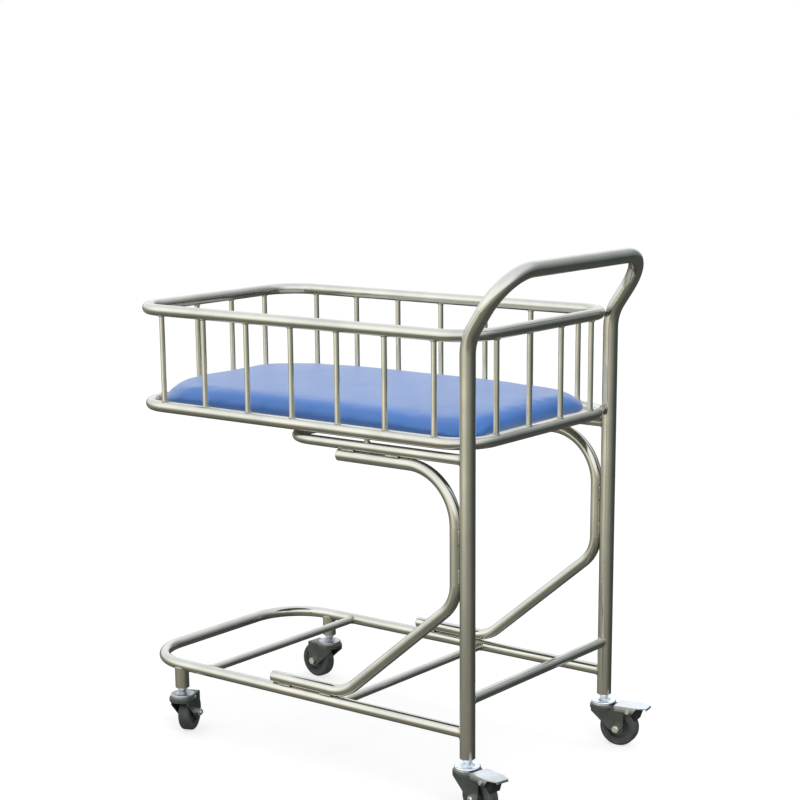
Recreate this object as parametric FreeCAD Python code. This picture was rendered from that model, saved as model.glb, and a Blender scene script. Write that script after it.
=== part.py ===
import FreeCAD, Part
import math
import os
from FreeCAD import Vector

# Hospital bassinet trolley in welded stainless tube: a barred basket with a mattress,
# carried by two bent brackets and two rear posts that end in a push handle, on four casters.
# Millimetres. X runs toward the push handle, Y across the trolley, Z up from the floor.
# "near" is the -Y side, "far" the +Y side, "head" the handle end and "foot" the free end.

# --- Rear posts and push handle (one bent tube) ---
post_x = 356.0                 # plane of the two rear posts
post_spacing = 460.0           # between the posts' axes
post_diameter = 28.0
tube_wall = 1.2
handle_reach = 78.0            # handle bar's axis behind the posts' axes
handle_z = 960.0               # handle bar's axis
handle_slope_deg = 56.0        # the sloping arms above the horizontal
post_bend_radius = 85.0
handle_corner_radius = 78.0
cross_tube_diameter = 19.0
cross_tube_z = 206.0

# --- Base frame ---
rail_diameter = 22.0
rail_rise = 46.0               # base rail's axis above the posts' lower ends
base_length = 808.0            # front rail's axis ahead of the posts
base_corner_radius = 110.0
crossbar_diameter = 16.0
front_crossbar_setback = 179.0  # front crossbar's axis behind the front rail's
rear_crossbar_reach = 292.0    # rear crossbar's axis ahead of the posts
stub_saddle_depth = 5.5        # the front stubs reach up beside the base rail by this
stub_roof_thickness = 3.0      # closes the stubs' tops under the rail

# --- Basket ---
ring_diameter = 22.0
ring_length = 800.0            # between the end rails' axes
ring_corner_radius = 70.0
upper_ring_z = 848.0
lower_ring_z = 662.0
weep_hole_diameter = 4.0
bar_diameter = 10.0
side_bar_count = 7
side_bar_end_gap = 76.9        # from an end rail's axis to the first side bar
end_bar_count = 4
end_bar_side_gap = 77.45       # from a side rail's axis to the first end bar
deck_thickness = 1.5

# --- Mattress pad ---
mattress_gap = 0.3             # rests this far above the deck
mattress_side_gap = 3.0        # to the lower ring's inner side
mattress_thickness = 38.0
mattress_corner_radius = 88.0
mattress_top_round = 20.0
mattress_bottom_round = 8.0

# --- Support rail and C brackets ---
support_diameter = 19.0
support_gap = 4.5              # between the support rail and the lower ring, for the spacers
support_length = 420.0
support_corner_radius = 70.0
spacer_diameter = 8.0
spacer_reach = 219.0           # spacers ahead of the posts
bracket_diameter = 22.0
bracket_top_reach = 283.0      # open upper end ahead of the posts
bracket_low_reach = 453.0      # open lower end ahead of the posts
bracket_foot_reach = 278.0     # where the slope meets the lower run
bracket_slope_deg = 40.0       # the sloping stretch above the horizontal
bracket_top_radius = 100.0
bracket_knee_radius = 70.0
bracket_foot_radius = 80.0
cap_thickness = 2.5
cap_chamfer = 1.0
cap_groove = 0.5                # around the joint with the tube
cap_spigot_length = 8.0

# --- Caster sockets ---
plug_length = 30.0             # inside the tube
plug_nose_length = 5.0         # cone below the tube's end
plug_nose_diameter = 18.0
stem_diameter = 12.0
neck_diameter = 14.0
neck_length = 8.0              # between the socket plug and the race plate
neck_foot_diameter = 28.0      # the neck flares to this on the race plate
neck_foot_height = 5.0

# --- Casters ---
wheel_diameter = 75.0
tyre_width = 24.0
tyre_thickness = 11.5
tyre_shoulder_radius = 5.0
hub_boss_diameter = 22.0
hub_rim_thickness = 4.0
hub_rim_width = 21.0
hub_web_width = 10.0
bush_diameter = 12.0
axle_diameter = 8.0
running_clearance = 0.05       # radial, of everything that turns on a pin
side_clearance = 0.5           # each side of the hub, between the fork's legs
caster_trail = 34.0            # axle behind the swivel axis
crown_clearance = 2.0          # between the tyre and the fork's crown
race_diameter = 48.0
race_wall = 2.0
race_edge_radius = 2.5
swivel_gap = 0.5               # between the race plate's rim and the fork's crown
kingpin_diameter = 10.0
rivet_diameter = 18.0
rivet_height = 3.0
rivet_gap = 0.3
fork_sheet = 2.5
fork_inner_width = 31.0
crown_diameter = 54.0
crown_edge_radius = 2.0
crown_skirt_height = 7.5
fork_tail_reach = 14.0         # trailing end of the fork behind the axle
fork_tail_depth = 12.0         # upright stretch of the trailing edge
fork_toe = 20.0                # leading edge of the legs ahead of the swivel axis
fork_toe_depth = 13.0          # upright stretch of the leading edge, from the crown's top
fork_eye_radius = 13.0         # round lower ends of the legs
ball_diameter = 5.0
ball_count = 12
ball_play = 0.25               # above and below the balls
ball_side_gap = 1.0            # to the race plate's rim and to the crown's boss
bolt_flats = 13.0
bolt_head_height = 5.3
nut_height = 7.0
bolt_tip = 2.5

# --- Rear caster brakes ---
brake_pin_reach = 22.0         # pedal's pin behind the axle
brake_pin_drop = 3.0           # below the underside of the fork's crown
brake_pin_diameter = 5.0
brake_pin_head_diameter = 8.0
brake_pin_head_height = 1.5
brake_ear_radius = 5.5         # round ends of the fork's legs around the pin
pedal_sheet = 2.0
pedal_side_gap = 0.3           # between the pedal's flanges and the fork's legs
pedal_rise = 10.0              # pedal's top above its pin
pedal_front_reach = 27.0       # pedal's leading end ahead of its pin
pedal_front_depth = 13.0       # flanges at the leading end
pedal_flange_depth = 16.5      # flanges at the pin
pedal_flange_reach = 8.0       # deep stretch each side of the pin
pedal_flange_length = 18.0     # flanges behind the pin
pedal_toe_reach = 37.0         # pedal's toe behind its pin
pedal_toe_width = 26.0
pedal_lip_depth = 5.0
pedal_press_deg = 12.0         # travel from released to pressed
shoe_setback = 6.0             # shoe's front behind the pin
shoe_length = 19.0
shoe_back_lean = 9.0           # the shoe's back leans in by this toward its lower end
shoe_width = 24.0
shoe_depth = 26.0
shoe_seat_gap = 0.3            # left between shoe and tyre when pressed

# --- Values worked out from the sizes above ---
# The heights build up from the floor: wheel, fork, race plate, socket, post, base rail.
axle_z = wheel_diameter / 2
crown_under_z = wheel_diameter + crown_clearance
crown_top_z = crown_under_z + fork_sheet
race_height = race_wall + ball_diameter + 2 * ball_play - swivel_gap
race_top_z = crown_top_z + swivel_gap + race_height
post_end_z = race_top_z + neck_length + plug_nose_length
rail_z = post_end_z + rail_rise
support_z = lower_ring_z - (ring_diameter + support_diameter) / 2 - support_gap
bracket_top_z = support_z - (support_diameter + bracket_diameter) / 2
bracket_low_z = rail_z + (rail_diameter + bracket_diameter) / 2
handle_kink_z = handle_z - handle_reach * math.tan(math.radians(handle_slope_deg))
deck_top_z = lower_ring_z + deck_thickness / 2
# Along the trolley, and across it.
half_spacing = post_spacing / 2
stub_reach = base_length - base_corner_radius  # the front stubs stand where the corners begin
front_crossbar_reach = base_length - front_crossbar_setback
bracket_x = post_x - (post_diameter + bracket_diameter) / 2
ring_width = post_spacing
side_bar_pitch = (ring_length - 2 * side_bar_end_gap) / (side_bar_count - 1)
end_bar_pitch = (ring_width - 2 * end_bar_side_gap) / (end_bar_count - 1)
# In a caster: distances behind its swivel axis, and widths.
fork_tail = caster_trail + fork_tail_reach
ball_circle_radius = race_diameter / 2 - race_wall - ball_side_gap - ball_diameter / 2
race_boss_radius = ball_circle_radius - ball_diameter / 2 - ball_side_gap
brake_pin_x = caster_trail + brake_pin_reach
brake_pin_z = crown_under_z - brake_pin_drop
pedal_top_z = brake_pin_z + pedal_rise
pedal_front = brake_pin_x - pedal_front_reach
pedal_flange_end = brake_pin_x + pedal_flange_length
pedal_toe = brake_pin_x + pedal_toe_reach
shoe_front = brake_pin_x + shoe_setback
shoe_back = shoe_front + shoe_length
fork_outer_width = fork_inner_width + 2 * fork_sheet
hub_length = fork_inner_width - 2 * side_clearance

# Each caster: where it stands and which way its wheel trails at rest, degrees from +X.
CASTERS = {
    "rear_near": {"x": post_x, "y": -half_spacing, "heading": -13.0, "braked": True},
    "rear_far": {"x": post_x, "y": half_spacing, "heading": 10.0, "braked": True},
    "front_near": {"x": post_x - stub_reach, "y": -half_spacing, "heading": 113.0, "braked": False},
    "front_far": {"x": post_x - stub_reach, "y": half_spacing, "heading": 176.0, "braked": False},
}
SIDES = {"near": -1, "far": 1}
PICK = 0.01  # slack when edges are picked by their place or length
X_AXIS = Vector(1, 0, 0)
Y_AXIS = Vector(0, 1, 0)
Z_AXIS = Vector(0, 0, 1)


def head_rail_x():
    """X of the rings' head rail: the ring's corners then just touch the posts' inner quarters."""
    touching = ring_corner_radius + (post_diameter + ring_diameter) / 2
    return post_x + ring_corner_radius - math.sqrt(touching**2 - ring_corner_radius**2)


# ---------------------------------------------------------------- general forms


def corner_arc(before, corner, after, radius):
    """Start, middle and end of the arc of this radius that rounds a corner of a path."""
    back = (before - corner).normalize()
    on = (after - corner).normalize()
    half_angle = back.getAngle(on) / 2
    reach = radius / math.tan(half_angle)
    bisector = (back + on).normalize()
    middle = corner + bisector * (radius / math.sin(half_angle) - radius)
    return corner + back * reach, middle, corner + on * reach


def bent_path(corners, radii):
    """Open wire along the corners, with the inner ones rounded by the radii."""
    edges = []
    last = corners[0]
    for before, corner, after, radius in zip(corners, corners[1:], corners[2:], radii):
        start, middle, end = corner_arc(before, corner, after, radius)
        edges.append(Part.makeLine(last, start))
        edges.append(Part.Arc(start, middle, end).toShape())
        last = end
    edges.append(Part.makeLine(last, corners[-1]))
    return Part.Wire(edges)


def rounded_rectangle(low_x, high_x, width, radius, z):
    """Closed wire of a rectangle centred on Y = 0, with round corners."""
    half = width / 2
    corners = [
        Vector(high_x, -half, z),
        Vector(high_x, half, z),
        Vector(low_x, half, z),
        Vector(low_x, -half, z),
    ]
    arcs = [
        corner_arc(corners[i - 1], corners[i], corners[(i + 1) % 4], radius) for i in range(4)
    ]
    edges = []
    for i, (start, middle, end) in enumerate(arcs):
        edges.append(Part.makeLine(arcs[i - 1][2], start))
        edges.append(Part.Arc(start, middle, end).toShape())
    return Part.Wire(edges)


def swept(path, diameter):
    """Round solid along a wire."""
    first = path.OrderedEdges[0]
    start = first.valueAt(first.FirstParameter)
    direction = first.tangentAt(first.FirstParameter)
    profile = Part.Wire([Part.Circle(start, direction, diameter / 2).toShape()])
    return path.makePipeShell([profile], True, False)


def tube(path, diameter):
    """Hollow tube along a wire, open at both ends."""
    return swept(path, diameter).cut(swept(path, diameter - 2 * tube_wall))


def rod(start, end, diameter):
    """Round bar between two points."""
    along = end - start
    return Part.makeCylinder(diameter / 2, along.Length, start, along)


def turned(points, origin=Vector(0, 0, 0), axis=Z_AXIS):
    """Solid of revolution of an outline of (radius, height) points about an upright axis."""
    outline = [Vector(radius, 0, height) for radius, height in points]
    face = Part.Face(Part.makePolygon(outline + outline[:1]))
    solid = face.revolve(Vector(0, 0, 0), Z_AXIS, 360)
    solid.Placement = FreeCAD.Placement(origin, FreeCAD.Rotation(Z_AXIS, axis))
    return solid


def plate(points, thickness, y_start):
    """Plate parallel to XZ from (x, z) points, from y_start toward +Y."""
    outline = [Vector(x, y_start, z) for x, z in points]
    return Part.Face(Part.makePolygon(outline + outline[:1])).extrude(Y_AXIS * thickness)


def across(x, z, diameter, width):
    """Round bar along Y, centred on Y = 0."""
    return rod(Vector(x, -width / 2, z), Vector(x, width / 2, z), diameter)


def tangent_point(outside, centre, radius, turn):
    """Point where the line from an outside point touches a circle, turn +1 or -1 for the side."""
    dx = outside[0] - centre[0]
    dz = outside[1] - centre[1]
    distance = math.hypot(dx, dz)
    angle = math.atan2(dz, dx) + turn * math.acos(radius / distance)
    return centre[0] + radius * math.cos(angle), centre[1] + radius * math.sin(angle)


# ---------------------------------------------------------------- posts and base frame


def handle_path():
    """From the near post's foot, up and over the handle, to the far post's foot."""
    half = half_spacing
    handle_x = post_x + handle_reach
    corners = [
        Vector(post_x, -half, post_end_z),
        Vector(post_x, -half, handle_kink_z),
        Vector(handle_x, -half, handle_z),
        Vector(handle_x, half, handle_z),
        Vector(post_x, half, handle_kink_z),
        Vector(post_x, half, post_end_z),
    ]
    radii = [post_bend_radius, handle_corner_radius, handle_corner_radius, post_bend_radius]
    return bent_path(corners, radii)


def both_posts():
    """The posts' full round outsides, for coping the tubes that meet them."""
    posts = [
        rod(Vector(post_x, s * half_spacing, 0), Vector(post_x, s * half_spacing, upper_ring_z),
            post_diameter)
        for s in SIDES.values()
    ]
    return Part.makeCompound(posts)


def u_path(length, radius, z):
    """Open U from the near post forward, across and back to the far post."""
    half = half_spacing
    front_x = post_x - length
    corners = [
        Vector(post_x, -half, z),
        Vector(front_x, -half, z),
        Vector(front_x, half, z),
        Vector(post_x, half, z),
    ]
    return bent_path(corners, [radius, radius])


def base_rail_outside():
    """The base rail's full round outside, for coping."""
    return swept(u_path(base_length, base_corner_radius, rail_z), rail_diameter)


def cross_member(x, z, diameter, cutter):
    """Straight tube between the two sides at X, coped by the solid that it meets."""
    ends = [Vector(x, s * half_spacing, z) for s in SIDES.values()]
    return tube(Part.Wire([Part.makeLine(*ends)]), diameter).cut(cutter)


def caster_stub(x, y):
    """Upright tube under the base rail, closed by a roof and saddled to the rail."""
    top_z = rail_z - rail_diameter / 2 + stub_saddle_depth
    top = Vector(x, y, top_z)
    wall = tube(Part.Wire([Part.makeLine(Vector(x, y, post_end_z), top)]), post_diameter)
    roof = rod(Vector(x, y, rail_z - rail_diameter / 2 - stub_roof_thickness), top, post_diameter)
    return wall.fuse(roof).removeSplitter().cut(base_rail_outside())


def socket_plug(x, y):
    """Plug in an upright tube's end, with a cone below it and a bore for the caster's stem."""
    inner = post_diameter / 2 - tube_wall
    bore = stem_diameter / 2
    nose_z = post_end_z - plug_nose_length
    outline = [
        (bore, nose_z),
        (plug_nose_diameter / 2, nose_z),
        (inner, post_end_z),
        (inner, post_end_z + plug_length),
        (bore, post_end_z + plug_length),
    ]
    return turned(outline, Vector(x, y, 0))


# ---------------------------------------------------------------- basket


def ring_path(z):
    """Axis of a basket ring."""
    head_x = head_rail_x()
    return rounded_rectangle(head_x - ring_length, head_x, ring_width, ring_corner_radius, z)


def basket_ring(z):
    """Hollow ring with one weep hole under its foot rail."""
    foot_x = head_rail_x() - ring_length
    low = Vector(foot_x, 0, z - ring_diameter)
    return tube(ring_path(z), ring_diameter).cut(rod(low, Vector(foot_x, 0, z), weep_hole_diameter))


def both_rings():
    """The rings' full round outsides, for coping the bars."""
    return Part.makeCompound([swept(ring_path(z), ring_diameter) for z in (lower_ring_z, upper_ring_z)])


def upright_bars(places):
    """Bars from ring to ring at (x, y) places, as separate solids."""
    bars = [rod(Vector(x, y, lower_ring_z), Vector(x, y, upper_ring_z), bar_diameter) for x, y in places]
    return Part.makeCompound(bars).cut(both_rings())


def spread(count, pitch):
    """Places of evenly pitched copies about zero."""
    return [(i - (count - 1) / 2) * pitch for i in range(count)]


def side_bars(side):
    """Bars of one long side."""
    middle_x = head_rail_x() - ring_length / 2
    y = side * ring_width / 2
    return upright_bars([(middle_x + offset, y) for offset in spread(side_bar_count, side_bar_pitch)])


def end_bars(x):
    """Bars of one short side."""
    return upright_bars([(x, y) for y in spread(end_bar_count, end_bar_pitch)])


def deck():
    """Plain sheet inside the lower ring, its edge welded to the ring."""
    low_z = lower_ring_z - deck_thickness / 2
    sheet = Part.Face(ring_path(low_z)).extrude(Z_AXIS * deck_thickness)
    return sheet.cut(swept(ring_path(lower_ring_z), ring_diameter))


def mattress():
    """Plain pad with rounded edges on the deck."""
    inset = ring_diameter / 2 + mattress_side_gap
    head_x = head_rail_x()
    outline = rounded_rectangle(
        head_x - ring_length + inset,
        head_x - inset,
        ring_width - 2 * inset,
        mattress_corner_radius,
        deck_top_z + mattress_gap,
    )
    pad = Part.Face(outline).extrude(Z_AXIS * mattress_thickness)
    low_z = deck_top_z + mattress_gap
    top_edges = [e for e in pad.Edges if e.BoundBox.ZMin > low_z + mattress_thickness - PICK]
    pad = pad.makeFillet(mattress_top_round, top_edges)
    low_edges = [e for e in pad.Edges if e.BoundBox.ZMax < low_z + PICK]
    return pad.makeFillet(mattress_bottom_round, low_edges)


# ---------------------------------------------------------------- support rail and brackets


def support_rail():
    """U tube under the basket, coped to the posts."""
    path = u_path(support_length, support_corner_radius, support_z)
    return tube(path, support_diameter).cut(both_posts())


def ring_spacers():
    """Short studs between the support rail and the lower ring, one on each side."""
    x = post_x - spacer_reach
    studs = [
        rod(Vector(x, s * half_spacing, support_z), Vector(x, s * half_spacing, lower_ring_z),
            spacer_diameter)
        for s in SIDES.values()
    ]
    rail = swept(u_path(support_length, support_corner_radius, support_z), support_diameter)
    ring = swept(ring_path(lower_ring_z), ring_diameter)
    return Part.makeCompound(studs).cut(rail).cut(ring)


def bracket_path(side):
    """From the open upper end, back and down along the post, then forward onto the base rail."""
    y = side * half_spacing
    foot_x = post_x - bracket_foot_reach
    rise = (bracket_x - foot_x) * math.tan(math.radians(bracket_slope_deg))
    corners = [
        Vector(post_x - bracket_top_reach, y, bracket_top_z),
        Vector(bracket_x, y, bracket_top_z),
        Vector(bracket_x, y, bracket_low_z + rise),
        Vector(foot_x, y, bracket_low_z),
        Vector(post_x - bracket_low_reach, y, bracket_low_z),
    ]
    return bent_path(corners, [bracket_top_radius, bracket_knee_radius, bracket_foot_radius])


def end_cap(x, y, z):
    """Button cap on a bracket's open end, which faces -X."""
    outer = bracket_diameter / 2
    inner = outer - tube_wall
    outline = [
        (0, -cap_spigot_length),
        (inner, -cap_spigot_length),
        (inner, 0),
        (outer - cap_groove, 0),
        (outer, cap_groove),
        (outer, cap_thickness - cap_chamfer),
        (outer - cap_chamfer, cap_thickness),
        (0, cap_thickness),
    ]
    return turned(outline, Vector(x, y, z), -X_AXIS)


def bracket_caps():
    """The four caps of the two brackets."""
    ends = [(post_x - bracket_top_reach, bracket_top_z), (post_x - bracket_low_reach, bracket_low_z)]
    caps = [end_cap(x, s * half_spacing, z) for s in SIDES.values() for x, z in ends]
    return Part.makeCompound(caps)


# ---------------------------------------------------------------- casters
# Each is modelled with its swivel axis on Z at the origin and its wheel trailing along +X.


def stem():
    """Stem, neck, kingpin and the rivet head that holds the fork."""
    neck_z = post_end_z - plug_nose_length
    rivet_z = crown_under_z - rivet_gap
    outline = [
        (0, rivet_z - rivet_height),
        (rivet_diameter / 2, rivet_z - rivet_height),
        (rivet_diameter / 2, rivet_z),
        (kingpin_diameter / 2, rivet_z),
        (kingpin_diameter / 2, race_top_z),
        (neck_foot_diameter / 2, race_top_z),
        (neck_diameter / 2, race_top_z + neck_foot_height),
        (neck_diameter / 2, neck_z),
        (stem_diameter / 2, neck_z),
        (stem_diameter / 2, post_end_z + plug_length),
        (0, post_end_z + plug_length),
    ]
    return turned(outline)


def race_plate():
    """Dished round plate above the fork's crown."""
    outer = race_diameter / 2
    rim_z = race_top_z - race_height
    under_z = race_top_z - race_wall
    outline = [
        (kingpin_diameter / 2, under_z),
        (outer - race_wall, under_z),
        (outer - race_wall, rim_z),
        (outer, rim_z),
        (outer, race_top_z),
        (kingpin_diameter / 2, race_top_z),
    ]
    dish = turned(outline)
    edge = [
        e for e in dish.Edges
        if e.BoundBox.ZMin > race_top_z - PICK and e.BoundBox.XLength > race_diameter - PICK
    ]
    return dish.makeFillet(race_edge_radius, edge)


def bearing_balls():
    """Ring of balls between the race plate and the crown."""
    middle_z = (crown_top_z + race_top_z - race_wall) / 2
    balls = []
    for i in range(ball_count):
        angle = 2 * math.pi * i / ball_count
        centre = Vector(
            ball_circle_radius * math.cos(angle), ball_circle_radius * math.sin(angle), middle_z
        )
        balls.append(Part.makeSphere(ball_diameter / 2, centre))
    return Part.makeCompound(balls)


def crown():
    """Top of the fork: a round head with a skirt, a square tail and a boss inside the race."""
    head = Part.makeCylinder(crown_diameter / 2, fork_sheet, Vector(0, 0, crown_under_z))
    tail = Part.makeBox(
        fork_tail, fork_outer_width, fork_sheet, Vector(0, -fork_outer_width / 2, crown_under_z)
    )
    top = head.fuse(tail).removeSplitter()
    edges = [e for e in top.Edges if e.BoundBox.ZMin > crown_top_z - PICK]
    top = top.makeFillet(crown_edge_radius, edges)
    outer = crown_diameter / 2
    skirt_z = crown_top_z - crown_skirt_height
    skirt = turned([
        (outer - fork_sheet, skirt_z),
        (outer, skirt_z),
        (outer, crown_under_z),
        (outer - fork_sheet, crown_under_z),
    ])
    mouth = Part.makeBox(
        crown_diameter, fork_inner_width, crown_skirt_height,
        Vector(0, -fork_inner_width / 2, skirt_z),
    )
    boss_top_z = race_top_z - race_wall - swivel_gap
    boss = Part.makeCylinder(
        race_boss_radius, boss_top_z - crown_under_z, Vector(0, 0, crown_under_z)
    )
    return top.fuse([skirt.cut(mouth), boss])


def leg_outline():
    """(x, z) outline of a leg down to the tangent points of its round eye."""
    centre = (caster_trail, axle_z)
    toe_low = (-fork_toe, crown_top_z - fork_toe_depth)
    tail_low = (fork_tail, crown_under_z - fork_tail_depth)
    return [
        (-fork_toe, crown_under_z),
        toe_low,
        tangent_point(toe_low, centre, fork_eye_radius, 1),
        centre,
        tangent_point(tail_low, centre, fork_eye_radius, -1),
        tail_low,
        (fork_tail, crown_under_z),
    ]


def leg_places():
    """Where the two legs' sheets start, toward +Y."""
    return (-fork_outer_width / 2, fork_inner_width / 2)


def fork(braked):
    """Pressed fork: crown, two legs and, on a braked caster, ears for the pedal's pin."""
    legs = []
    for y_start in leg_places():
        eye_start = Vector(caster_trail, y_start, axle_z)
        legs.append(plate(leg_outline(), fork_sheet, y_start))
        legs.append(Part.makeCylinder(fork_eye_radius, fork_sheet, eye_start, Y_AXIS))
    bores = [
        Part.makeCylinder(kingpin_diameter / 2 + running_clearance, race_top_z),
        across(caster_trail, axle_z, axle_diameter, 2 * fork_outer_width),
    ]
    if braked:
        legs += brake_ears()
        bores.append(across(brake_pin_x, brake_pin_z, brake_pin_diameter, 2 * fork_outer_width))
    return crown().fuse(legs).cut(bores)


def brake_ears():
    """Round ends that carry the legs back to the pedal's pin, bored for it."""
    ears = []
    corners = [
        (fork_tail - brake_ear_radius, brake_pin_z - brake_ear_radius),
        (brake_pin_x, brake_pin_z - brake_ear_radius),
        (brake_pin_x, brake_pin_z + brake_ear_radius),
        (fork_tail - brake_ear_radius, brake_pin_z + brake_ear_radius),
    ]
    for y_start in leg_places():
        ears.append(plate(corners, fork_sheet, y_start))
        centre = Vector(brake_pin_x, y_start, brake_pin_z)
        ears.append(Part.makeCylinder(brake_ear_radius, fork_sheet, centre, Y_AXIS))
    return ears


def wheel_turned(points):
    """Solid of revolution about the axle from (radius, y) points."""
    return turned(points, Vector(caster_trail, 0, axle_z), Y_AXIS)


def tyre():
    """Tyre with rounded shoulders."""
    outer = wheel_diameter / 2
    half = tyre_width / 2
    ring = wheel_turned([
        (outer - tyre_thickness, -half),
        (outer, -half),
        (outer, half),
        (outer - tyre_thickness, half),
    ])
    rims = [e for e in ring.Edges if e.BoundBox.ZLength > wheel_diameter - PICK]
    return ring.makeFillet(tyre_shoulder_radius, [e for e in rims if e.BoundBox.YLength < PICK])


def hub():
    """Hub with a long boss, a thin web and a rim under the tyre."""
    rim = wheel_diameter / 2 - tyre_thickness
    boss = hub_boss_diameter / 2
    bore = bush_diameter / 2
    half_boss, half_web, half_rim = hub_length / 2, hub_web_width / 2, hub_rim_width / 2
    upper = [
        (bore, half_boss),
        (boss, half_boss),
        (boss, half_web),
        (rim - hub_rim_thickness, half_web),
        (rim - hub_rim_thickness, half_rim),
        (rim, half_rim),
    ]
    return wheel_turned(upper + [(radius, -y) for radius, y in reversed(upper)])


def bush():
    """Sleeve in the hub that runs on the axle."""
    inner = axle_diameter / 2 + running_clearance
    half = hub_length / 2
    outer = bush_diameter / 2
    return wheel_turned([(inner, -half), (outer, -half), (outer, half), (inner, half)])


def hexagon(y_start, height):
    """Hexagonal block on the axle, from y_start toward +Y."""
    radius = bolt_flats / math.sqrt(3)
    points = []
    for i in range(6):
        angle = math.radians(60 * i)
        points.append((caster_trail + radius * math.cos(angle), axle_z + radius * math.sin(angle)))
    return plate(points, height, y_start)


def axle_bolt():
    """Axle bolt with its head on the far side and a nut on the near side."""
    outer = fork_outer_width / 2
    tip_y = -outer - nut_height - bolt_tip
    shank = rod(Vector(caster_trail, tip_y, axle_z), Vector(caster_trail, outer, axle_z), axle_diameter)
    bolt = shank.fuse(hexagon(outer, bolt_head_height))
    nut = hexagon(-outer - nut_height, nut_height).cut(shank)
    return Part.makeCompound([bolt, nut])


# ---------------------------------------------------------------- brakes


def tipped(shape, degrees):
    """Shape turned about the brake's pin; positive lowers the toe."""
    return shape.rotated(Vector(brake_pin_x, 0, brake_pin_z), Y_AXIS, degrees)


def pedal_outer_width():
    """Across the pedal's flanges, which stand outside the fork's legs."""
    return fork_outer_width + 2 * (pedal_side_gap + pedal_sheet)


def brake_pin():
    """Headed pin through the legs' ears and the pedal's flanges."""
    half = pedal_outer_width() / 2
    head = half + brake_pin_head_height
    pin = across(brake_pin_x, brake_pin_z, brake_pin_diameter, 2 * half)
    heads = [
        rod(Vector(brake_pin_x, s * half, brake_pin_z), Vector(brake_pin_x, s * head, brake_pin_z),
            brake_pin_head_diameter)
        for s in SIDES.values()
    ]
    return pin.fuse(heads)


def pedal_top():
    """Top sheet of the pedal, narrowing from the flanges to the toe, with a lip turned down."""
    half = pedal_outer_width() / 2
    toe_half = pedal_toe_width / 2
    z = pedal_top_z - pedal_sheet
    outline = [
        Vector(pedal_front, -half, z),
        Vector(pedal_flange_end, -half, z),
        Vector(pedal_toe, -toe_half, z),
        Vector(pedal_toe, toe_half, z),
        Vector(pedal_flange_end, half, z),
        Vector(pedal_front, half, z),
    ]
    sheet = Part.Face(Part.makePolygon(outline + outline[:1])).extrude(Z_AXIS * pedal_sheet)
    lip = Part.makeBox(
        pedal_sheet, pedal_toe_width, pedal_lip_depth,
        Vector(pedal_toe - pedal_sheet, -toe_half, pedal_top_z - pedal_lip_depth),
    )
    return sheet.fuse(lip)


def brake_pedal():
    """Pressed pedal: top sheet and two flanges bored for the pin."""
    deep_z = pedal_top_z - pedal_flange_depth
    outline = [
        (pedal_front, pedal_top_z),
        (pedal_front, pedal_top_z - pedal_front_depth),
        (brake_pin_x - pedal_flange_reach, deep_z),
        (brake_pin_x + pedal_flange_reach, deep_z),
        (pedal_flange_end, pedal_top_z - pedal_sheet),
        (pedal_flange_end, pedal_top_z),
    ]
    half = pedal_outer_width() / 2
    flanges = [plate(outline, pedal_sheet, y_start) for y_start in (-half, half - pedal_sheet)]
    bore = brake_pin_diameter + 2 * running_clearance
    return pedal_top().fuse(flanges).cut(across(brake_pin_x, brake_pin_z, bore, 4 * half))


def brake_shoe():
    """Rubber shoe under the pedal; its face fits the tyre when the pedal is pressed."""
    top_z = pedal_top_z - pedal_sheet
    outline = [
        (shoe_front, top_z),
        (shoe_back, top_z),
        (shoe_back - shoe_back_lean, top_z - shoe_depth),
        (shoe_front, top_z - shoe_depth),
    ]
    block = plate(outline, shoe_width, -shoe_width / 2)
    reach = wheel_diameter + 2 * shoe_seat_gap
    pressed = tipped(block, pedal_press_deg).cut(across(caster_trail, axle_z, reach, 2 * shoe_width))
    return tipped(pressed, -pedal_press_deg)


# ---------------------------------------------------------------- assembly


def caster_pieces(braked):
    """Every piece of one caster, in the caster's own frame."""
    pieces = {
        "stem": stem(),
        "race_plate": race_plate(),
        "bearing_balls": bearing_balls(),
        "fork": fork(braked),
        "hub": hub(),
        "bush": bush(),
        "tyre": tyre(),
        "axle_bolt": axle_bolt(),
    }
    if braked:
        pieces["brake_pin"] = brake_pin()
        pieces["brake_pedal"] = brake_pedal()
        pieces["brake_shoe"] = brake_shoe()
    return pieces


def frame_pieces():
    """Every piece of the welded frame and the basket."""
    posts = both_posts()
    rail = base_rail_outside()
    head_x = head_rail_x()
    stub_x = post_x - stub_reach
    plugs = [socket_plug(caster["x"], caster["y"]) for caster in CASTERS.values()]
    base_path = u_path(base_length, base_corner_radius, rail_z)
    return {
        "post_handle_tube": tube(handle_path(), post_diameter),
        "lower_cross_tube": cross_member(post_x, cross_tube_z, cross_tube_diameter, posts),
        "base_rail": tube(base_path, rail_diameter).cut(posts),
        "front_crossbar": cross_member(post_x - front_crossbar_reach, rail_z, crossbar_diameter, rail),
        "rear_crossbar": cross_member(post_x - rear_crossbar_reach, rail_z, crossbar_diameter, rail),
        "near_stub": caster_stub(stub_x, -half_spacing),
        "far_stub": caster_stub(stub_x, half_spacing),
        "socket_plugs": Part.makeCompound(plugs),
        "near_bracket": tube(bracket_path(-1), bracket_diameter),
        "far_bracket": tube(bracket_path(1), bracket_diameter),
        "bracket_caps": bracket_caps(),
        "support_rail": support_rail(),
        "ring_spacers": ring_spacers(),
        "upper_ring": basket_ring(upper_ring_z),
        "lower_ring": basket_ring(lower_ring_z),
        "near_bars": side_bars(-1),
        "far_bars": side_bars(1),
        "head_bars": end_bars(head_x),
        "foot_bars": end_bars(head_x - ring_length),
        "deck": deck(),
        "mattress": mattress(),
    }


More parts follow.
